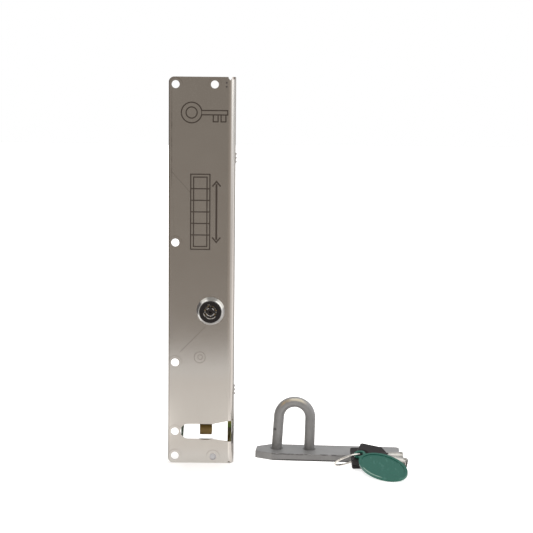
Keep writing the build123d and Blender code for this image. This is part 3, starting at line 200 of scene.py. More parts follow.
class Finish:
    """A surface finish on the Principled shader, worked out in the object's own coordinates."""

    def __init__(self, name, **constants):
        self.material = bpy.data.materials.new(name)
        self.material.use_nodes = True
        self.tree = self.material.node_tree
        self.shader = self.tree.nodes["Principled BSDF"]
        self.place = self.node("ShaderNodeTexCoord", {}, {}, "Object")
        for key, value in constants.items():
            self.put(key.replace("_", " "), value)

    def node(self, kind, settings, values, out=0):
        """Any node, in this finish's tree."""
        return add_node(self.tree, kind, settings, values, out)

    def put(self, socket, value):
        """Sets one socket of the shader to a number, a colour or a link."""
        target = self.shader.inputs[socket]
        if isinstance(value, Link):
            self.tree.links.new(value.out, target)
        elif isinstance(value, tuple) and len(value) == 3 and target.type == "RGBA":
            target.default_value = (*value, 1.0)
        else:
            target.default_value = value

    def now(self, socket):
        """What one socket of the shader is set to or linked from."""
        held = self.shader.inputs[socket]
        if held.links:
            return Link(self.tree, held.links[0].from_socket)
        return tuple(held.default_value)[:3] if held.type == "RGBA" else held.default_value

    def axes(self):
        """The x, y and z of the place, each as a number."""
        return self.place.split()

    def noise(self, scale, detail=3.0, stretch=(1.0, 1.0, 1.0)):
        """Cloudy noise with so many cells to the metre."""
        values = {"Vector": self.place * stretch, "Scale": scale, "Detail": detail, "Roughness": 0.55}
        return self.node("ShaderNodeTexNoise", {}, values)

    def net(self, scale, stretch):
        """Distance to the nearest line of a crazed net with so many cells to the metre."""
        values = {"Vector": self.place * stretch, "Scale": scale}
        return self.node("ShaderNodeTexVoronoi", {"feature": "DISTANCE_TO_EDGE"}, values, "Distance")

    def matt(self, share, colour):
        """Turns a share of the surface, from 0 to 1, to a matt colour that is no metal."""
        for socket, value in (("Base Color", colour), ("Roughness", 0.9), ("Metallic", 0.0)):
            if self.now(socket) != value:
                self.put(socket, share.between(self.now(socket), value))

    def relief(self, height, depth, strength=1.0):
        """Raises the surface by the height times a depth in metres."""
        values = {"Height": height, "Distance": depth, "Strength": strength}
        self.put("Normal", self.node("ShaderNodeBump", {}, values, "Normal"))


def dress(finish, *names):
    """Gives CAD nodes their finish."""
    for name in names:
        piece = nodes[name]
        if not piece.material_slots:
            piece.data.materials.append(finish.material)
        for holder in piece.material_slots:
            holder.material = finish.material


camera_data = bpy.data.cameras.new("photo_camera")
camera_data.sensor_width = SENSOR
camera_data.lens = FOCAL_PX / PHOTO_PX * SENSOR
camera_data.shift_x, camera_data.shift_y = [shift / PHOTO_PX for shift in SHIFT_PX]
camera_data.clip_start = 0.05
camera_data.clip_end = 60.0
camera = bpy.data.objects.new("photo_camera", camera_data)
scene.collection.objects.link(camera)
turn = Matrix.Rotation(math.pi / 2 - CAMERA_DIP, 4, "X") @ Matrix.Rotation(CAMERA_ROLL, 4, "Z")
camera.matrix_world = Matrix.Translation(CAMERA_AT) @ turn
scene.camera = camera

floor_mesh = bpy.data.meshes.new("table_top")
table = bmesh.new()
corners = [
    (-TABLE_HALF_WIDTH, TABLE_EDGE_Y), (TABLE_HALF_WIDTH, TABLE_EDGE_Y),
    (TABLE_HALF_WIDTH, TABLE_BACK_Y), (-TABLE_HALF_WIDTH, TABLE_BACK_Y),
]
table.faces.new([table.verts.new((x, y, FLOOR_Z)) for x, y in corners])
table.to_mesh(floor_mesh)
table.free()
floor = bpy.data.objects.new("table_top", floor_mesh)
scene.collection.objects.link(floor)
pale = Finish("pale_table", Roughness=0.75)
cloudy_colour = tuple(1.03 * part for part in TABLE_COLOUR)
pale.put("Base Color", pale.noise(9.0, 4.0).between(TABLE_COLOUR, cloudy_colour))
# The table glows, which is painted light: it washes out to white far off, and beside the lock and in the
# gap behind its foot the glow lifts the shadows that fall there.
across, away, _ = pale.axes()
far_off = away.step(-0.19, 0.45)
behind_foot = across.step(-0.0215, -0.0245) * away.within(-0.0215, -0.0180, 0.02, 0.05)
beside = union([across.step(0.0238, 0.0254), across.step(-0.036, -0.042)]) * away.step(-0.30, -0.12)
painted_glow = union([far_off, behind_foot * 0.40, beside * 0.78])
pale.put("Emission Color", painted_glow.between((0.0, 0.0, 0.0), (0.9, 0.9, 0.9)))
pale.put("Emission Strength", 1.0)
floor_mesh.materials.append(pale.material)

# How far the room's colours reach below the horizon, in parts of the way straight down.
BELOW_HORIZON = 0.25
DIM_ROOM = (0.33, 0.295, 0.262)
world = bpy.data.worlds.new("studio")
scene.world = world
world.use_nodes = True
sky = world.node_tree
rightward, ahead, upward = add_node(sky, "ShaderNodeTexCoord", {}, {}, "Generated").split()
room = (upward + BELOW_HORIZON).ramp(
    (BELOW_HORIZON - 0.14, (0.375, 0.335, 0.298)),
    (BELOW_HORIZON - 0.08, DIM_ROOM),
    (BELOW_HORIZON, DIM_ROOM),
    (BELOW_HORIZON + 0.35, (0.40, 0.38, 0.35)),
    (BELOW_HORIZON + 0.75, (0.95, 0.95, 0.95)),
)
lit_walls = union([ahead.step(-0.55, 0.10), rightward.step(0.12, 0.95)])
ambient = lit_walls.between(room, (0.92, 0.93, 0.95))
seen = add_node(sky, "ShaderNodeLightPath", {}, {}, "Is Camera Ray")
sky_colour = seen.between(ambient, (1.0, 1.0, 1.0))
sky.links.new(sky_colour.out, sky.nodes["Background"].inputs["Color"])
sky.nodes["Background"].inputs["Strength"].default_value = 1.0


def soft_box(name, at, aim, size, watts):
    """A soft box that hangs in the studio and faces one place."""
    data = bpy.data.lights.new(name, "AREA")
    data.shape = "RECTANGLE"
    data.size, data.size_y = size
    data.energy = watts
    lamp = bpy.data.objects.new(name, data)
    scene.collection.objects.link(lamp)
    lamp.location = at
    lamp.rotation_euler = (Vector(aim) - Vector(at)).to_track_quat("-Z", "Y").to_euler()


soft_box("top_box", (0.1, -0.3, 1.7), (0.05, 0.0, 0.1), (1.8, 1.8), 16.0)
soft_box("right_box", (1.9, -0.6, 1.15), (0.03, 0.0, 0.1), (1.7, 2.0), 12.0)
soft_box("left_box", (-1.7, -1.0, 0.9), (0.03, 0.0, 0.1), (1.5, 1.8), 7.0)

# Front plate: 1.5 mm stainless sheet, cut by laser, bent once into face and flange, and brushed
# up and down. It is screwed to the gate post and carries the whole lock. The relief sawn at the
# top of the bend kept a brown heat tint, and two signs are burnt into the face by laser.
PLATE_FRONT_Y = -0.0220
SHEET_HOLES = (
    (-0.0258, 0.2935), (0.0067, 0.2935), (-0.0258, 0.1615), (-0.0258, 0.0594),
    (-0.0258, -0.0001), (-0.0258, -0.0211), (0.0067, -0.0217),
)
RING_RADIUS = 0.0056
RING_LINE = 0.0009
WITNESS_MARKS = (((-0.0049, 0.0638), 0.0047), ((-0.0045, 0.0640), 0.0020))
WITNESS_LINE = 0.0008
PUNCH_DOTS = ((0.0165, 0.2950), (0.0165, 0.2917))
PUNCH_DOT = (0.0010, 0.0005)
# A slope is where a mark sets in and where it is full. A run adds where it fades and where it ends.
FACE_SLOPE = (PLATE_FRONT_Y + 0.0004, PLATE_FRONT_Y + 0.0001)
BEND_RELIEF = (0.0228, 0.3000)
HEAT_SLOPE = (0.0030, 0.0012)
EDGE_LINE_X = -0.0290
EDGE_LINE_WIDTH = 0.0008
EDGE_LINE_RUN = (0.195, 0.235, 0.2880, 0.2920)
LEFT_EDGE_SLOPE = (-0.0303, -0.0309)
BEND_HIGHLIGHT_RUN = (0.0172, 0.0204, 0.0214, 0.0222)
BEND_HIGHLIGHT_RISE = (0.030, 0.130)
BEND_SHADE_SLOPE = (0.0195, 0.0215)
BEND_SHADE_DROP = (0.260, 0.160)
LOWER_FACE_RUN = (-0.022, -0.010, 0.040, 0.056)
FLANGE_SHADE_SLOPE = (0.0229, 0.0234)
SLOT_EDGE_SLOPE = (0.0218, 0.0228)
SLOT_RUN = (-0.0125, -0.0095, 0.0095, 0.0125)
SLOT_SHADE = (-0.0030, 0.0010)
# Each scratch's start, how far it drops for its way across, its width and the box that holds it.
SCRATCHES = (
    ((-0.0287, 0.2207), 1.1, 0.00045, (-0.0290, 0.2020, -0.0130, 0.2210)),
    ((-0.0216, 0.0685), -1.02, 0.0006, (-0.0218, 0.0683, 0.0002, 0.0905)),
)
SCRATCH_END = 0.0004
LASER_LINE = 0.00105
LINE_END = 0.0002
KEY_SIGN_AT = (-0.0125, 0.2702)
BOW_RADIUS = 0.0085
BOW_HOLE_RADIUS = 0.0046
STEM_ENDS = (0.0080, 0.0300)
STEM_HALF_WIDTH = 0.0018
TEETH_AT = (0.0180, 0.0245)
TOOTH_WIDTH = 0.0040
TOOTH_DROP = 0.0075
GATE_BOX = (-0.0130, 0.1560, 0.0030, 0.2190)
GATE_RAIL = 0.0024
GATE_BARS = 5
GATE_BAR_PITCH = 0.0097
ARROW_X = 0.0085
ARROW_TIPS = (0.1620, 0.2130)
ARROW_INSET = 0.002
ARROW_HEAD = (0.0056, 0.0052)


def round_from(first, second, at):
    """Distance from one place, in the plane of two axes."""
    return ((first - at[0]) ** 2.0 + (second - at[1]) ** 2.0) ** 0.5


def box_from(x, z, box):
    """Distance outside a rectangle given as low x, low z, high x, high z; less than 0 inside."""
    low_x, low_z, high_x, high_z = box
    aside = (x - (low_x + high_x) / 2).op("ABSOLUTE") - (high_x - low_x) / 2
    above = (z - (low_z + high_z) / 2).op("ABSOLUTE") - (high_z - low_z) / 2
    return union([aside, above])


def line_along(distance, width):
    """1 on the line where a distance is 0, 0 beside it."""
    return distance.op("ABSOLUTE").step(width * 0.62, width * 0.38)


def key_sign(x, z):
    """A plain key in outline, lying across the plate: round bow, stem and two teeth."""
    bow_x, middle_z = KEY_SIGN_AT
    low_z, high_z = middle_z - STEM_HALF_WIDTH, middle_z + STEM_HALF_WIDTH
    bow = round_from(x, z, KEY_SIGN_AT)
    stem = box_from(x, z, (bow_x + STEM_ENDS[0], low_z, bow_x + STEM_ENDS[1], high_z))
    body = (bow - BOW_RADIUS).op("MINIMUM", stem)
    for at in TEETH_AT:
        tooth = box_from(x, z, (bow_x + at, middle_z - TOOTH_DROP, bow_x + at + TOOTH_WIDTH, low_z))
        body = body.op("MINIMUM", tooth)
    return union([line_along(body, LASER_LINE), line_along(bow - BOW_HOLE_RADIUS, LASER_LINE)])


def gate_sign(x, z):
    """A plain gate in outline, a frame with five bars, and beside it a two-headed arrow."""
    low_x, low_z, high_x, high_z = GATE_BOX
    opening = (low_x + GATE_RAIL, low_z + GATE_RAIL, high_x - GATE_RAIL, high_z - GATE_RAIL)
    outer = box_from(x, z, GATE_BOX)
    inner = box_from(x, z, opening)
    bars = [
        line_along(z - (opening[1] + GATE_BAR_PITCH * n), LASER_LINE) * outer.step(0.0, -LINE_END)
        for n in range(1, GATE_BARS + 1)
    ]
    low_tip, high_tip = ARROW_TIPS
    shaft_box = (
        ARROW_X - ARROW_INSET, low_tip + ARROW_INSET, ARROW_X + ARROW_INSET, high_tip - ARROW_INSET,
    )
    shaft_length = box_from(x, z, shaft_box).step(0.0, -LINE_END)
    shaft = line_along(x - ARROW_X, LASER_LINE * 1.6) * shaft_length
    heads = []
    for tip, way in ((high_tip, 1.0), (low_tip, -1.0)):
        lean = (x - ARROW_X).op("ABSOLUTE") * 1.2 + (z - tip) * way
        near_tip = round_from(x, z, (ARROW_X, tip)).step(*ARROW_HEAD)
        heads.append(line_along(lean, LASER_LINE * 1.9) * near_tip)
    return union([line_along(outer, LASER_LINE), line_along(inner, LASER_LINE), *bars, shaft, *heads])


stainless = Finish("brushed_stainless", Metallic=1.0)
x, y, z = stainless.axes()
face = y.step(*FACE_SLOPE)
grain =stainless.noise(900.0, 4.0, (1.0, 1.0, 0.03))
touch = stainless.noise(90.0, 2.0).step(0.42, 0.60)
fine = stainless.noise(2600.0, 3.0, (1.0, 1.0, 0.6))
cloud = stainless.noise(28.0, 3.0)
brushed = grain * 0.2 + fine * 0.4 + cloud * 0.4
steel = brushed.mottle((0.525, 0.500, 0.468), (0.585, 0.562, 0.528))

heat_tint = round_from(x, z, BEND_RELIEF).step(*HEAT_SLOPE) * 0.9
steel = heat_tint.between(steel, (0.12, 0.075, 0.055))
half_rings = union([
    line_along(round_from(x, z, hole) - RING_RADIUS, RING_LINE) * (z - hole[1]).step(-0.0030, 0.0030)
    for hole in SHEET_HOLES
])
witness = union([
    line_along(round_from(x, z, at) - radius, WITNESS_LINE) for at, radius in WITNESS_MARKS
])
soft_marks = union([half_rings * (touch * 0.5 + 0.5) * 0.50, witness * 0.62]) * face
steel = soft_marks.between(steel, (0.36, 0.32, 0.29))
# A thin dark line near the left edge is a painted reflection, and the darker strip along the edge itself
# is painted shade.
edge_reflection_line = line_along(x - EDGE_LINE_X, EDGE_LINE_WIDTH) * z.within(*EDGE_LINE_RUN) * face
steel = (edge_reflection_line * (touch * 0.35 + 0.20)).between(steel, (0.16, 0.13, 0.12))
left_edge_shade = x.step(*LEFT_EDGE_SLOPE) * 0.60
steel = left_edge_shade.between(steel, (0.19, 0.17, 0.155))
# Painted highlight: a pale warm band down the start of the bend, fading out towards the foot.
bend_highlight = x.within(*BEND_HIGHLIGHT_RUN) * z.step(*BEND_HIGHLIGHT_RISE) * 0.52
steel = bend_highlight.between(steel, (0.97, 0.90, 0.82))
# Painted shade: the lower part of the bend is painted darker.
bend_shade = x.step(*BEND_SHADE_SLOPE) * z.step(*BEND_SHADE_DROP) * 0.48
steel = bend_shade.between(steel, (0.24, 0.205, 0.18))
lower_face = z.within(*LOWER_FACE_RUN) * face
steel = lower_face.between(steel, steel * (0.945, 0.925, 0.905))
scratches = union([
    line_along((x - start[0]) * drop + (z - start[1]), width)
    * box_from(x, z, box).step(0.0, -SCRATCH_END)
    for start, drop, width, box in SCRATCHES
])
steel = (scratches * face * 0.62).between(steel, (0.22, 0.20, 0.18))
dots = union([round_from(x, z, at).step(*PUNCH_DOT) for at in PUNCH_DOTS]) * face
steel = (dots * 0.75).between(steel, (0.12, 0.11, 0.13))
lasered = union([key_sign(x, z), gate_sign(x, z)]) * face
stainless.put("Base Color", (lasered * 0.92).between(steel, (0.060, 0.042, 0.032)))
stainless.put("Roughness", lasered * 0.30 + fine * 0.05 + cloud * 0.04 + 0.13)
# Painted shade: the flange, seen edge on, is painted a matt dark grey-brown in place of its dark
# reflection.
stainless.matt(x.step(*FLANGE_SHADE_SLOPE) * 0.9, (0.19, 0.172, 0.155))
# Painted shade: the flange's edge beside the slot is painted matt dark brown, darkest low down.
slot_shade_colour = z.step(*SLOT_SHADE).between((0.045, 0.038, 0.034), (0.120, 0.098, 0.076))
stainless.matt(x.step(*SLOT_EDGE_SLOPE) * z.within(*SLOT_RUN) * 0.92, slot_shade_colour)
stainless.relief(witness * face * 0.5 + half_rings * face * 0.4 + grain * 0.3, 0.00003, 0.4)
dress(stainless, "front_plate")

# Chassis, rear cover and bolt guide: folded mild steel, zinc plated and yellow passivated, which
# leaves gold with green and olive drifts. The chassis stands inside the plate's flange, and the
# cover and the guide are screwed to it. Its lip and left wall are seen through the slot.
BAY_RUN = (-0.0260, -0.0200, 0.0100, 0.0130)
LEFT_WALL_SLOPE = (-0.0180, -0.0190)
RIGHT_LIP_SLOPE = (0.0150, 0.0165)
LIP_FOOT_Z = -0.0172
LIP_HEIGHT = 0.0177
yellow_zinc = Finish("yellow_zinc", Metallic=0.75)
x, y, z = yellow_zinc.axes()
drift = yellow_zinc.noise(34.0, 3.0)
gold = (drift * 0.75 + yellow_zinc.noise(150.0, 5.0) * 0.25).ramp(
    (0.30, (0.33, 0.32, 0.15)), (0.50, (0.45, 0.37, 0.18)), (0.70, (0.52, 0.39, 0.23)),
)
# The left wall seen in the slot is painted dark green and the lip in bands of olive, brown and green by
# height: the passivation's colours together with painted shade inside the slot.
bay = z.within(*BAY_RUN)
left_wall = x.step(*LEFT_WALL_SLOPE) * bay
right_lip = x.step(*RIGHT_LIP_SLOPE) * bay
height = (z + drift * 0.002 - LIP_FOOT_Z) / LIP_HEIGHT
olive = height.ramp(
    (0.00, (0.17, 0.12, 0.05)), (0.26, (0.16, 0.112, 0.045)), (0.37, (0.22, 0.195, 0.083)),
    (0.47, (0.21, 0.185, 0.078)), (0.58, (0.115, 0.095, 0.055)), (0.69, (0.110, 0.096, 0.053)),
    (0.76, (0.120, 0.180, 0.045)), (0.87, (0.125, 0.180, 0.043)), (0.96, (0.22, 0.215, 0.050)),
)
dark_green = height.ramp((0.2, (0.018, 0.046, 0.014)), (0.8, (0.012, 0.052, 0.034)))
yellow_zinc.put("Base Color", gold)
yellow_zinc.put("Roughness", yellow_zinc.noise(900.0, 2.0) * 0.2 + 0.32)
yellow_zinc.matt(left_wall * 0.9, dark_green)
yellow_zinc.matt(right_lip, olive)
dress(yellow_zinc, "chassis", "back_cover", "bolt_guide")

# Tack welds: two beads of three lobes each, grey with a blue-brown tint as the torch left them.
# They join the chassis to the rear edge of the plate's flange.
weld_bead = Finish("weld_bead", Metallic=0.9)
ripple = weld_bead.noise(900.0, 3.0)
weld_bead.put("Base Color", ripple.ramp(
    (0.3, (0.16, 0.13, 0.11)), (0.5, (0.30, 0.28, 0.26)), (0.75, (0.22, 0.24, 0.30)),
))
weld_bead.put("Roughness", ripple * 0.3 + 0.3)
weld_bead.relief(ripple, 0.0002, 0.5)
dress(weld_bead, "tack_welds")

# Keeper block: milled from bare steel, with a pocket under the bolt. Two screws hold it on the
# chassis's foot, and its spigot fills the plate's lower right hole, its end painted pale as painted
# light.
SPIGOT_AT = (0.0067, -0.0217)
SPIGOT_RIM = (0.0034, 0.0030)
SPIGOT_END_Y = (-0.0190, -0.0196)
milled_steel = Finish("milled_steel", Metallic=1.0)
swirl = milled_steel.noise(300.0, 3.0)
milled_steel.put("Base Color", swirl.mottle((0.56, 0.56, 0.56), (0.68, 0.67, 0.67)))
milled_steel.put("Roughness", swirl * 0.15 + 0.35)
x, y, z = milled_steel.axes()
spigot_highlight = round_from(x, z, SPIGOT_AT).step(*SPIGOT_RIM) * y.step(*SPIGOT_END_Y)
# Painted highlight: the spigot's end is painted pale and matt, so it stays bright in the hole's shade.
milled_steel.matt(spigot_highlight * (swirl * 0.2 + 0.6), (0.70, 0.69, 0.71))
dress(milled_steel, "keeper_block")

# Keeper rim: a hardened steel lining with a collar, blackened and then rubbed grey. It is pressed
# into the keeper block's pocket, and its collar shows in the dip of the slot's lower edge.
black_oxide = Finish("black_oxide", Metallic=0.8)
rub = black_oxide.noise(220.0, 4.0)
black_oxide.put("Base Color", rub.ramp((0.35, (0.11, 0.11, 0.12)), (0.75, (0.24, 0.235, 0.235))))
black_oxide.put("Roughness", rub * 0.3 + 0.35)
dress(black_oxide, "keeper_rim")

# Bolt: a steel bar with a brown-gold passivated skin, under painted shade where it runs up into
# the lock and paler towards its tip. It slides up and down in the bolt guide and hangs on the carriage's
# pin.
BOLT_DARK_Z = (-0.0010, 0.0045)
BOLT_PALE_TIP_Z = (0.0012, -0.0048)
bolt_skin = Finish("bolt_skin", Metallic=0.85)
x, y, z = bolt_skin.axes()
drift = bolt_skin.noise(120.0, 4.0, (1.0, 1.0, 0.35))
skin = drift.mottle((0.092, 0.055, 0.012), (0.165, 0.105, 0.024))
# Painted shade darkens the upper part; below it the skin is painted paler towards the tip.
shade = (z + drift * 0.0012).step(*BOLT_DARK_Z)
skin = shade.between(skin, (0.048, 0.028, 0.005))
pale_share = z.step(*BOLT_PALE_TIP_Z)
bolt_skin.put("Base Color", (pale_share * 0.85).between(skin, (0.38, 0.27, 0.12)))
bolt_skin.put("Roughness", drift * 0.3 + 0.25)
dress(bolt_skin, "bolt")

# Carriage, lead screw, brackets, cam and all screws: turned, milled or folded steel, bright zinc
# plated. The screw runs in its bearing bracket beside the bolt and lifts the carriage.
bright_zinc = Finish("bright_zinc", Metallic=1.0)
patch = bright_zinc.noise(160.0, 3.0)
bright_zinc.put("Base Color", patch.mottle((0.48, 0.49, 0.50), (0.62, 0.62, 0.61)))
bright_zinc.put("Roughness", patch * 0.25 + 0.22)
dress(
    bright_zinc,
    "cover_screws", "guide_screws", "keeper_screws", "bracket_screws", "motor_screws", "board_screws",
    "switch_screws", "cam_screw", "carriage", "carriage_pin", "bearing_bracket", "motor_bracket",
    "cylinder_nut", "lifting_cam", "screw_coupler", "motor_shaft", "lead_screw",
)

# Lead nut and screw bush of cast bronze, board spacers and tumbler pins of turned brass, all left
# bare. The nut sits in the carriage and the bush in the bearing bracket.
bronze = Finish("bronze", Metallic=1.0)
patch = bronze.noise(200.0, 3.0)
bronze.put("Base Color", patch.mottle((0.52, 0.38, 0.17), (0.68, 0.52, 0.27)))
bronze.put("Roughness", patch * 0.2 + 0.22)
dress(bronze, "lead_nut", "screw_bush", "board_spacers", "tumbler_pins")

# Bolt spring: one helix of drawn spring wire between the bolt's peg and the carriage's nose. It
# is wound here again at the CAD spring's place and hung on the carriage; it keeps its length, though the
# real spring shortens as the key lifts the bolt.
COIL_TURNS = 9
COIL_RADIUS = 0.00355
WIRE_RADIUS = 0.00045
WIRE_SIDES = 10
STEPS_PER_TURN = 28


def wound_wire(name, foot, length):
    """A closed round tube along a helix that climbs from its foot."""
    mesh = bpy.data.meshes.new(name)
    wire = bmesh.new()
    rise = length / (2 * math.pi * COIL_TURNS)
    around = [2 * math.pi * side / WIRE_SIDES for side in range(WIRE_SIDES)]
    rings = []
    for n in range(COIL_TURNS * STEPS_PER_TURN + 1):
        turned = 2 * math.pi * n / STEPS_PER_TURN
        outward = Vector((math.cos(turned), math.sin(turned), 0.0))
        sideways = Vector((-math.sin(turned), math.cos(turned), 0.0))
        forward = (sideways * COIL_RADIUS + Vector((0.0, 0.0, rise))).normalized()
        upward = forward.cross(outward)
        centre = Vector(foot) + outward * COIL_RADIUS + Vector((0.0, 0.0, rise * turned))
        rings.append([
            wire.verts.new(centre + (outward * math.cos(angle) + upward * math.sin(angle)) * WIRE_RADIUS)
            for angle in around
        ])
    for here, there in zip(rings, rings[1:]):
        for side in range(WIRE_SIDES):
            after = (side + 1) % WIRE_SIDES
            wire.faces.new((here[side], here[after], there[after], there[side])).smooth = True
    wire.faces.new(rings[0])
    wire.faces.new(rings[-1])
    bmesh.ops.recalc_face_normals(wire, faces=wire.faces)
    wire.to_mesh(mesh)
    wire.free()
    coil = bpy.data.objects.new(name, mesh)
    scene.collection.objects.link(coil)
    return coil


spring_low, spring_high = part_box("bolt_spring")
spring_axis = [(spring_low[n] + spring_high[n]) / 2 for n in (0, 1)]
coil_length = spring_high[2] - spring_low[2] - 2 * WIRE_RADIUS
spring_coil = wound_wire("spring_coil", (*spring_axis, spring_low[2] + WIRE_RADIUS), coil_length)
spring_wire = Finish("spring_wire", Metallic=1.0)
drawn = spring_wire.noise(1200.0, 2.0)
spring_wire.put("Base Color", drawn.mottle((0.36, 0.36, 0.37), (0.52, 0.52, 0.53)))
spring_wire.put("Roughness", drawn * 0.2 + 0.25)
spring_coil.data.materials.append(spring_wire.material)
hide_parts("bolt_spring")
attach(spring_coil, "carriage")
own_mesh(spring_coil)

# Gear motor: a rolled and plated steel can on a gearbox turned a little wider. Two screws hold it
# to the motor bracket, and its shaft turns the lead screw through the coupler.
motor_can = Finish("motor_can", Metallic=1.0)
rolled = motor_can.noise(700.0, 3.0, (1.0, 1.0, 0.03))
motor_can.put("Base Color", rolled.mottle((0.42, 0.42, 0.41), (0.56, 0.56, 0.54)))
motor_can.put("Roughness", rolled * 0.2 + 0.2)
dress(motor_can, "motor", "gearbox")

# Key cylinder's body: turned with a conical head and chrome plated. It passes through the plate
# and is held by a nut behind it. Pale, grey and dark reflections of the studio are painted on its head.
CYLINDER_AXIS = (0.0041, 0.1038)
SOFT_SIDE = 9.0
WHOLE_HEAD = (0.0, 0.0010)
# Each reflection's direction from +X and half width in degrees, the radii over which it sets in,
# its strength and its colour.
PAINTED_HEAD_REFLECTIONS = (
    (38.0, 20.0, (0.0096, 0.0102), 0.62, (0.84, 0.82, 0.76)),
    (122.0, 14.0, (0.0096, 0.0102), 0.62, (0.84, 0.82, 0.76)),
    (84.0, 17.0, WHOLE_HEAD, 0.85, (0.15, 0.14, 0.125)),
    (-60.0, 72.0, WHOLE_HEAD, 0.45, (0.27, 0.25, 0.235)),
    (163.0, 26.0, (0.0096, 0.0103), 0.95, (0.045, 0.040, 0.038)),
)
chrome = Finish("chrome", Metallic=1.0)
swirl = chrome.noise(400.0, 3.0)
chrome.put("Base Color", swirl.mottle((0.41, 0.405, 0.395), (0.48, 0.475, 0.465)))
chrome.put("Roughness", swirl * 0.08 + 0.06)
x, y, z = chrome.axes()
from_axis = round_from(x, z, CYLINDER_AXIS)
# Each painted reflection is a matt patch laid over the chrome in one direction from the axis.
for way, half_width, radii, strength, colour in PAINTED_HEAD_REFLECTIONS:
    turned = math.radians(way)
    towards = (x - CYLINDER_AXIS[0]) * math.cos(turned) + (z - CYLINDER_AXIS[1]) * math.sin(turned)
    outer_cosine, inner_cosine = [
        math.cos(math.radians(half_width + soft)) for soft in (SOFT_SIDE, -SOFT_SIDE)
    ]
    side = (towards / from_axis).step(outer_cosine, inner_cosine)
    chrome.matt(side * from_axis.step(*radii) * strength, colour)
dress(chrome, "cylinder_body")

# Cylinder plug: hardened steel that turns in the body, its centre post dark and the keyway's
# walls rubbed bright. The post's rim carries painted highlights along its lower side and at two spots.
KEYWAY_FOOT = (0.0034, 0.0040)
POST_RIM = (0.0030, 0.0033, 0.0037, 0.0040)
RIM_HIGHLIGHT_BELOW_Z = (0.1034, 0.1020)
RIM_GLINT_SPOTS = (((0.0020, 0.1062), (0.0014, 0.0006)), ((0.0066, 0.1062), (0.0020, 0.0008)))
plug_steel = Finish("plug_steel", Metallic=1.0)
x, y, z = plug_steel.axes()
from_axis = round_from(x, z, CYLINDER_AXIS)
pale_share = plug_steel.noise(500.0, 3.0).step(0.35, 0.60)
bright = from_axis.step(*KEYWAY_FOOT) * pale_share
plug_steel.put("Base Color", bright.between((0.060, 0.055, 0.055), (0.62, 0.60, 0.57)))
plug_steel.put("Roughness", pale_share * 0.12 + 0.20)
# Painted highlights: the post's rim is painted pale along its lower side and at two spots.
rim_glints = [round_from(x, z, at).step(*radii) for at, radii in RIM_GLINT_SPOTS]
rim_highlight = union([z.step(*RIM_HIGHLIGHT_BELOW_Z), *rim_glints])
plug_steel.matt(from_axis.within(*POST_RIM) * rim_highlight * 0.8, (0.70, 0.68, 0.66))
plug_steel.relief(pale_share, 0.00006, 0.5)
dress(plug_steel, "cylinder_plug")

# Cylinder's face, limit switches, relay and capacitor: black moulded plastic, satin with a fine
# grain. The face is pressed into the body's head, and its keyway's rim carries a painted highlight on
# one side.
KEYWAY_RIM = (0.0053, 0.0055, 0.0058, 0.0061)
LIT_BELOW_Z = (0.1036, 0.1010)


def black_moulding(name):
    """Satin black moulding with a fine grain."""
    plastic = Finish(name, IOR=1.45, Specular_IOR_Level=0.22)
    spark = plastic.noise(2600.0, 2.0)
    plastic.put("Base Color", spark.mottle((0.008, 0.0065, 0.0065), (0.016, 0.013, 0.012)))
    plastic.put("Roughness", spark * 0.2 + 0.38)
    plastic.relief(spark, 0.00004, 0.4)
    return plastic


black_face = black_moulding("black_face")
x, y, z = black_face.axes()
from_axis = round_from(x, z, CYLINDER_AXIS)
# Painted highlight: the keyway's rim is painted pale on its lower side.
lit_arc = (z + x * 0.3).step(*LIT_BELOW_Z) * black_face.noise(420.0, 2.0).step(0.35, 0.55)
black_face.matt(from_axis.within(*KEYWAY_RIM) * lit_arc * 0.75, (0.60, 0.56, 0.52))
dress(black_face, "cylinder_face")
black_plastic = black_moulding("black_plastic")
dress(black_plastic, "limit_switches", "relay", "capacitor")

# Drive board: glass-fibre laminate under a green mask, with copper runs that show through it. It
# stands on edge beside the chassis's right wall, on four spacers.
board_mask = Finish("board_mask", IOR=1.5, Roughness=0.28)
runs = board_mask.net(180.0, (1.0, 1.0, 2.2))
board_mask.put("Base Color", runs.step(0.06, 0.10).between((0.05, 0.22, 0.10), (0.012, 0.09, 0.04)))
board_mask.relief(runs.step(0.10, 0.06), 0.00003)
dress(board_mask, "circuit_board")

# Terminal block: pale green moulding with a faint grain, soldered to the drive board. Its clamps
# take the supply's wires.
terminal_green = Finish("terminal_green", IOR=1.47)
spark = terminal_green.noise(1400.0, 2.0)
terminal_green.put("Base Color", spark.mottle((0.05, 0.22, 0.12), (0.07, 0.27, 0.15)))
terminal_green.put("Roughness", spark * 0.2 + 0.35)
dress(terminal_green, "terminal_block")

# Cable grommet: a black rubber ring with a dusty bloom, snapped into the hole in the chassis's
# top, where the supply cable enters.
rubber = Finish("rubber", IOR=1.5)
bloom = rubber.noise(240.0, 4.0)
rubber.put("Base Color", bloom.ramp((0.35, (0.012, 0.012, 0.012)), (0.75, (0.035, 0.034, 0.032))))
rubber.put("Roughness", bloom * 0.25 + 0.6)
dress(rubber, "cable_grommet")

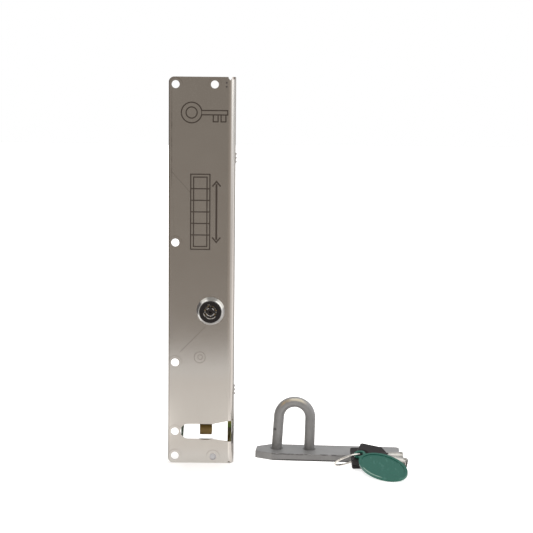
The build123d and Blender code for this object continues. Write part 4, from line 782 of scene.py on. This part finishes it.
# Striker: a sawn flat bar and a rod bent to a hoop, welded into it and dip galvanised. The bar is
# chipped along its upper front edge, and the hoop's crown carries a pale streak, brown towards its left.
BAR_CORNER = (0.0421, -0.0097)
BAR_TURN = math.radians(-4.0)
BAR_TOP_Z = -0.0212
BAR_FRONT = (0.0013, 0.0004)
CHIPPED_Z = (BAR_TOP_Z - 0.0016, BAR_TOP_Z - 0.0004)
CHIPPED_FROM = (0.006, 0.020)
CONTACT_SHADOW_Z = (BAR_TOP_Z - 0.0044, BAR_TOP_Z - 0.0053)
CONTACT_SHADOW_FROM = (0.004, 0.030)
HOOP_FEET = ((0.0613, 0.0090), (0.0896, 0.0070))
FOOT_WELD = (0.0064, 0.0052)
RIGHT_LEG_X = (0.0800, 0.0880)
LEG_TOP_Z = (0.0160, 0.0040)
CROWN = (0.0766, 0.0066)
STREAK_RUN = (0.0147, 0.0157, 0.0168, 0.0176)
STREAK_X = (0.0620, 0.0680, 0.0820, 0.0885)
STREAK_Y = (0.0095, 0.0075)
STREAK_Z = (0.0120, 0.0160)
NICK = (0.0597, -0.0036)
SHADED_ZINC = (0.045, 0.043, 0.042)


def zinc_coat(name):
    """Dip galvanising: matt grey with a faint spangle and drifts. Gives the finish and its colour."""
    coat = Finish(name, Metallic=0.45)
    spangle = coat.noise(420.0, 4.0)
    stain = coat.noise(60.0, 4.0)
    coat.put("Roughness", spangle * 0.2 + 0.42)
    coat.relief(spangle, 0.00010, 0.4)
    return coat, (spangle * 0.4 + stain * 0.6).mottle((0.190, 0.186, 0.182), (0.256, 0.249, 0.243))


bar_zinc, grey = zinc_coat("galvanised_bar")
x, y, z = bar_zinc.axes()
from_corner_x, from_corner_y = x - BAR_CORNER[0], y - BAR_CORNER[1]
along = from_corner_x * math.cos(BAR_TURN) + from_corner_y * math.sin(BAR_TURN)
over = from_corner_y * math.cos(BAR_TURN) - from_corner_x * math.sin(BAR_TURN)
weld_shade = union([round_from(x, y, foot).step(*FOOT_WELD) for foot in HOOP_FEET])
grey = (weld_shade * 0.75).between(grey, SHADED_ZINC)
# Painted shade: the front face is painted a little darker than the top.
grey = (over.step(0.0012, 0.0003) * 0.20).between(grey, SHADED_ZINC)
front = over.step(*BAR_FRONT)
# Painted shadow: a dark line along the foot of the front face, where the bar meets the floor.
contact_shadow = front * z.step(*CONTACT_SHADOW_Z) * along.step(*CONTACT_SHADOW_FROM)
grey = (contact_shadow * 0.9).between(grey, (0.025, 0.022, 0.022))
flaked = bar_zinc.noise(420.0, 4.0, (0.45, 0.6, 1.8)).step(0.46, 0.56)
chips = flaked * front * z.step(*CHIPPED_Z) * along.step(*CHIPPED_FROM)
bar_zinc.put("Base Color", (chips * 0.85).between(grey, (0.060, 0.055, 0.053)))
dress(bar_zinc, "striker_bar")

hoop_zinc, grey = zinc_coat("galvanised_hoop")
x, y, z = hoop_zinc.axes()
# Painted shade: the lower part of the right leg is painted a little darker.
right_leg_shade = x.step(*RIGHT_LEG_X) * z.step(*LEG_TOP_Z) * 0.14
grey = right_leg_shade.between(grey, SHADED_ZINC)
patchy = hoop_zinc.noise(170.0, 5.0, (1.0, 1.0, 1.6)).step(0.36, 0.52)
# A pale streak, brown towards its left, is painted along the outer side of the crown.
streak = round_from(x, z, CROWN).within(*STREAK_RUN)
pale_streak = streak * x.within(*STREAK_X) * y.step(*STREAK_Y) * z.step(*STREAK_Z)
streak_colour = x.step(0.0700, 0.0740).between((0.335, 0.260, 0.167), (0.445, 0.400, 0.315))
grey = (pale_streak * (patchy * 0.6 + 0.4)).between(grey, streak_colour)
nick = round_from(x, z, NICK).step(0.0016, 0.0007)
hoop_zinc.put("Base Color", (nick * 0.8).between(grey, (0.06, 0.055, 0.05)))
dress(hoop_zinc, "striker_hoop")


# Split ring of two turns of spring wire, and the keys' tubular barrels: nickel plated steel, the
# ring still bright and the barrels dulled by handling.
def nickel_plate(name, dull, bright, roughness):
    """Nickel plating between two tones."""
    plate = Finish(name, Metallic=1.0)
    patch = plate.noise(350.0, 3.0)
    plate.put("Base Color", patch.mottle(dull, bright))
    plate.put("Roughness", patch * 0.15 + roughness)
    return plate


ring_nickel = nickel_plate("ring_nickel", (0.46, 0.43, 0.39), (0.64, 0.61, 0.57), 0.16)
dress(ring_nickel, "split_ring")
barrel_nickel = nickel_plate("barrel_nickel", (0.30, 0.285, 0.26), (0.40, 0.385, 0.36), 0.30)
dress(barrel_nickel, "key_1_barrel", "key_2_barrel")

# Key heads: the same satin black plastic as the switches, moulded round the ends of the barrels,
# with a hole for the ring.
dress(black_plastic, "key_1_head", "key_2_head")

# Key tag: green moulded plastic with a loop and a raised rim, which carries a painted highlight along
# one side. It hangs on the ring and leans on the keys, so its finish follows its own tilted axes.
TAG_AT = Vector((0.14893, -0.06190, -0.01933))
TAG_TURNS = ((-49.82, "Z"), (10.49, "Y"), (17.59, "X"))
TAG_HALF_LENGTH = 0.0250
TAG_HALF_WIDTH = 0.0149
RIM_PLACE = 0.925
RIM_WIDTH = 0.055
tag_green = Finish("tag_green", IOR=1.45, Specular_IOR_Level=0.28)
spark = tag_green.noise(900.0, 3.0)
green = spark.mottle((0.009, 0.076, 0.053), (0.013, 0.092, 0.066))
scuff = tag_green.noise(260.0, 5.0, (1.0, 0.35, 1.0)).step(0.58, 0.66)
green = (scuff * 0.12).between(green, (0.16, 0.33, 0.28))
tag_way = Matrix.Identity(3)
for degrees, axis in TAG_TURNS:
    tag_way = tag_way @ Matrix.Rotation(math.radians(degrees), 3, axis)
x, y, z = tag_green.axes()
lengthwise, crosswise = [
    ((x - TAG_AT.x) * way.x + (y - TAG_AT.y) * way.y + (z - TAG_AT.z) * way.z) / half
    for way, half in ((tag_way.col[0], TAG_HALF_LENGTH), (tag_way.col[1], TAG_HALF_WIDTH))
]
from_middle = (lengthwise ** 2.0 + crosswise ** 2.0) ** 0.5
near_side = (crosswise * -1.0 / from_middle).step(0.84, 0.94)
# Painted highlight: a pale line along the lower side of the rim.
tag_rim_highlight = line_along(from_middle - RIM_PLACE, RIM_WIDTH) * near_side
tag_green.put("Base Color", (tag_rim_highlight * 0.5).between(green, (0.42, 0.55, 0.46)))
tag_green.put("Roughness", spark * 0.12 + 0.24)
dress(tag_green, "key_tag")
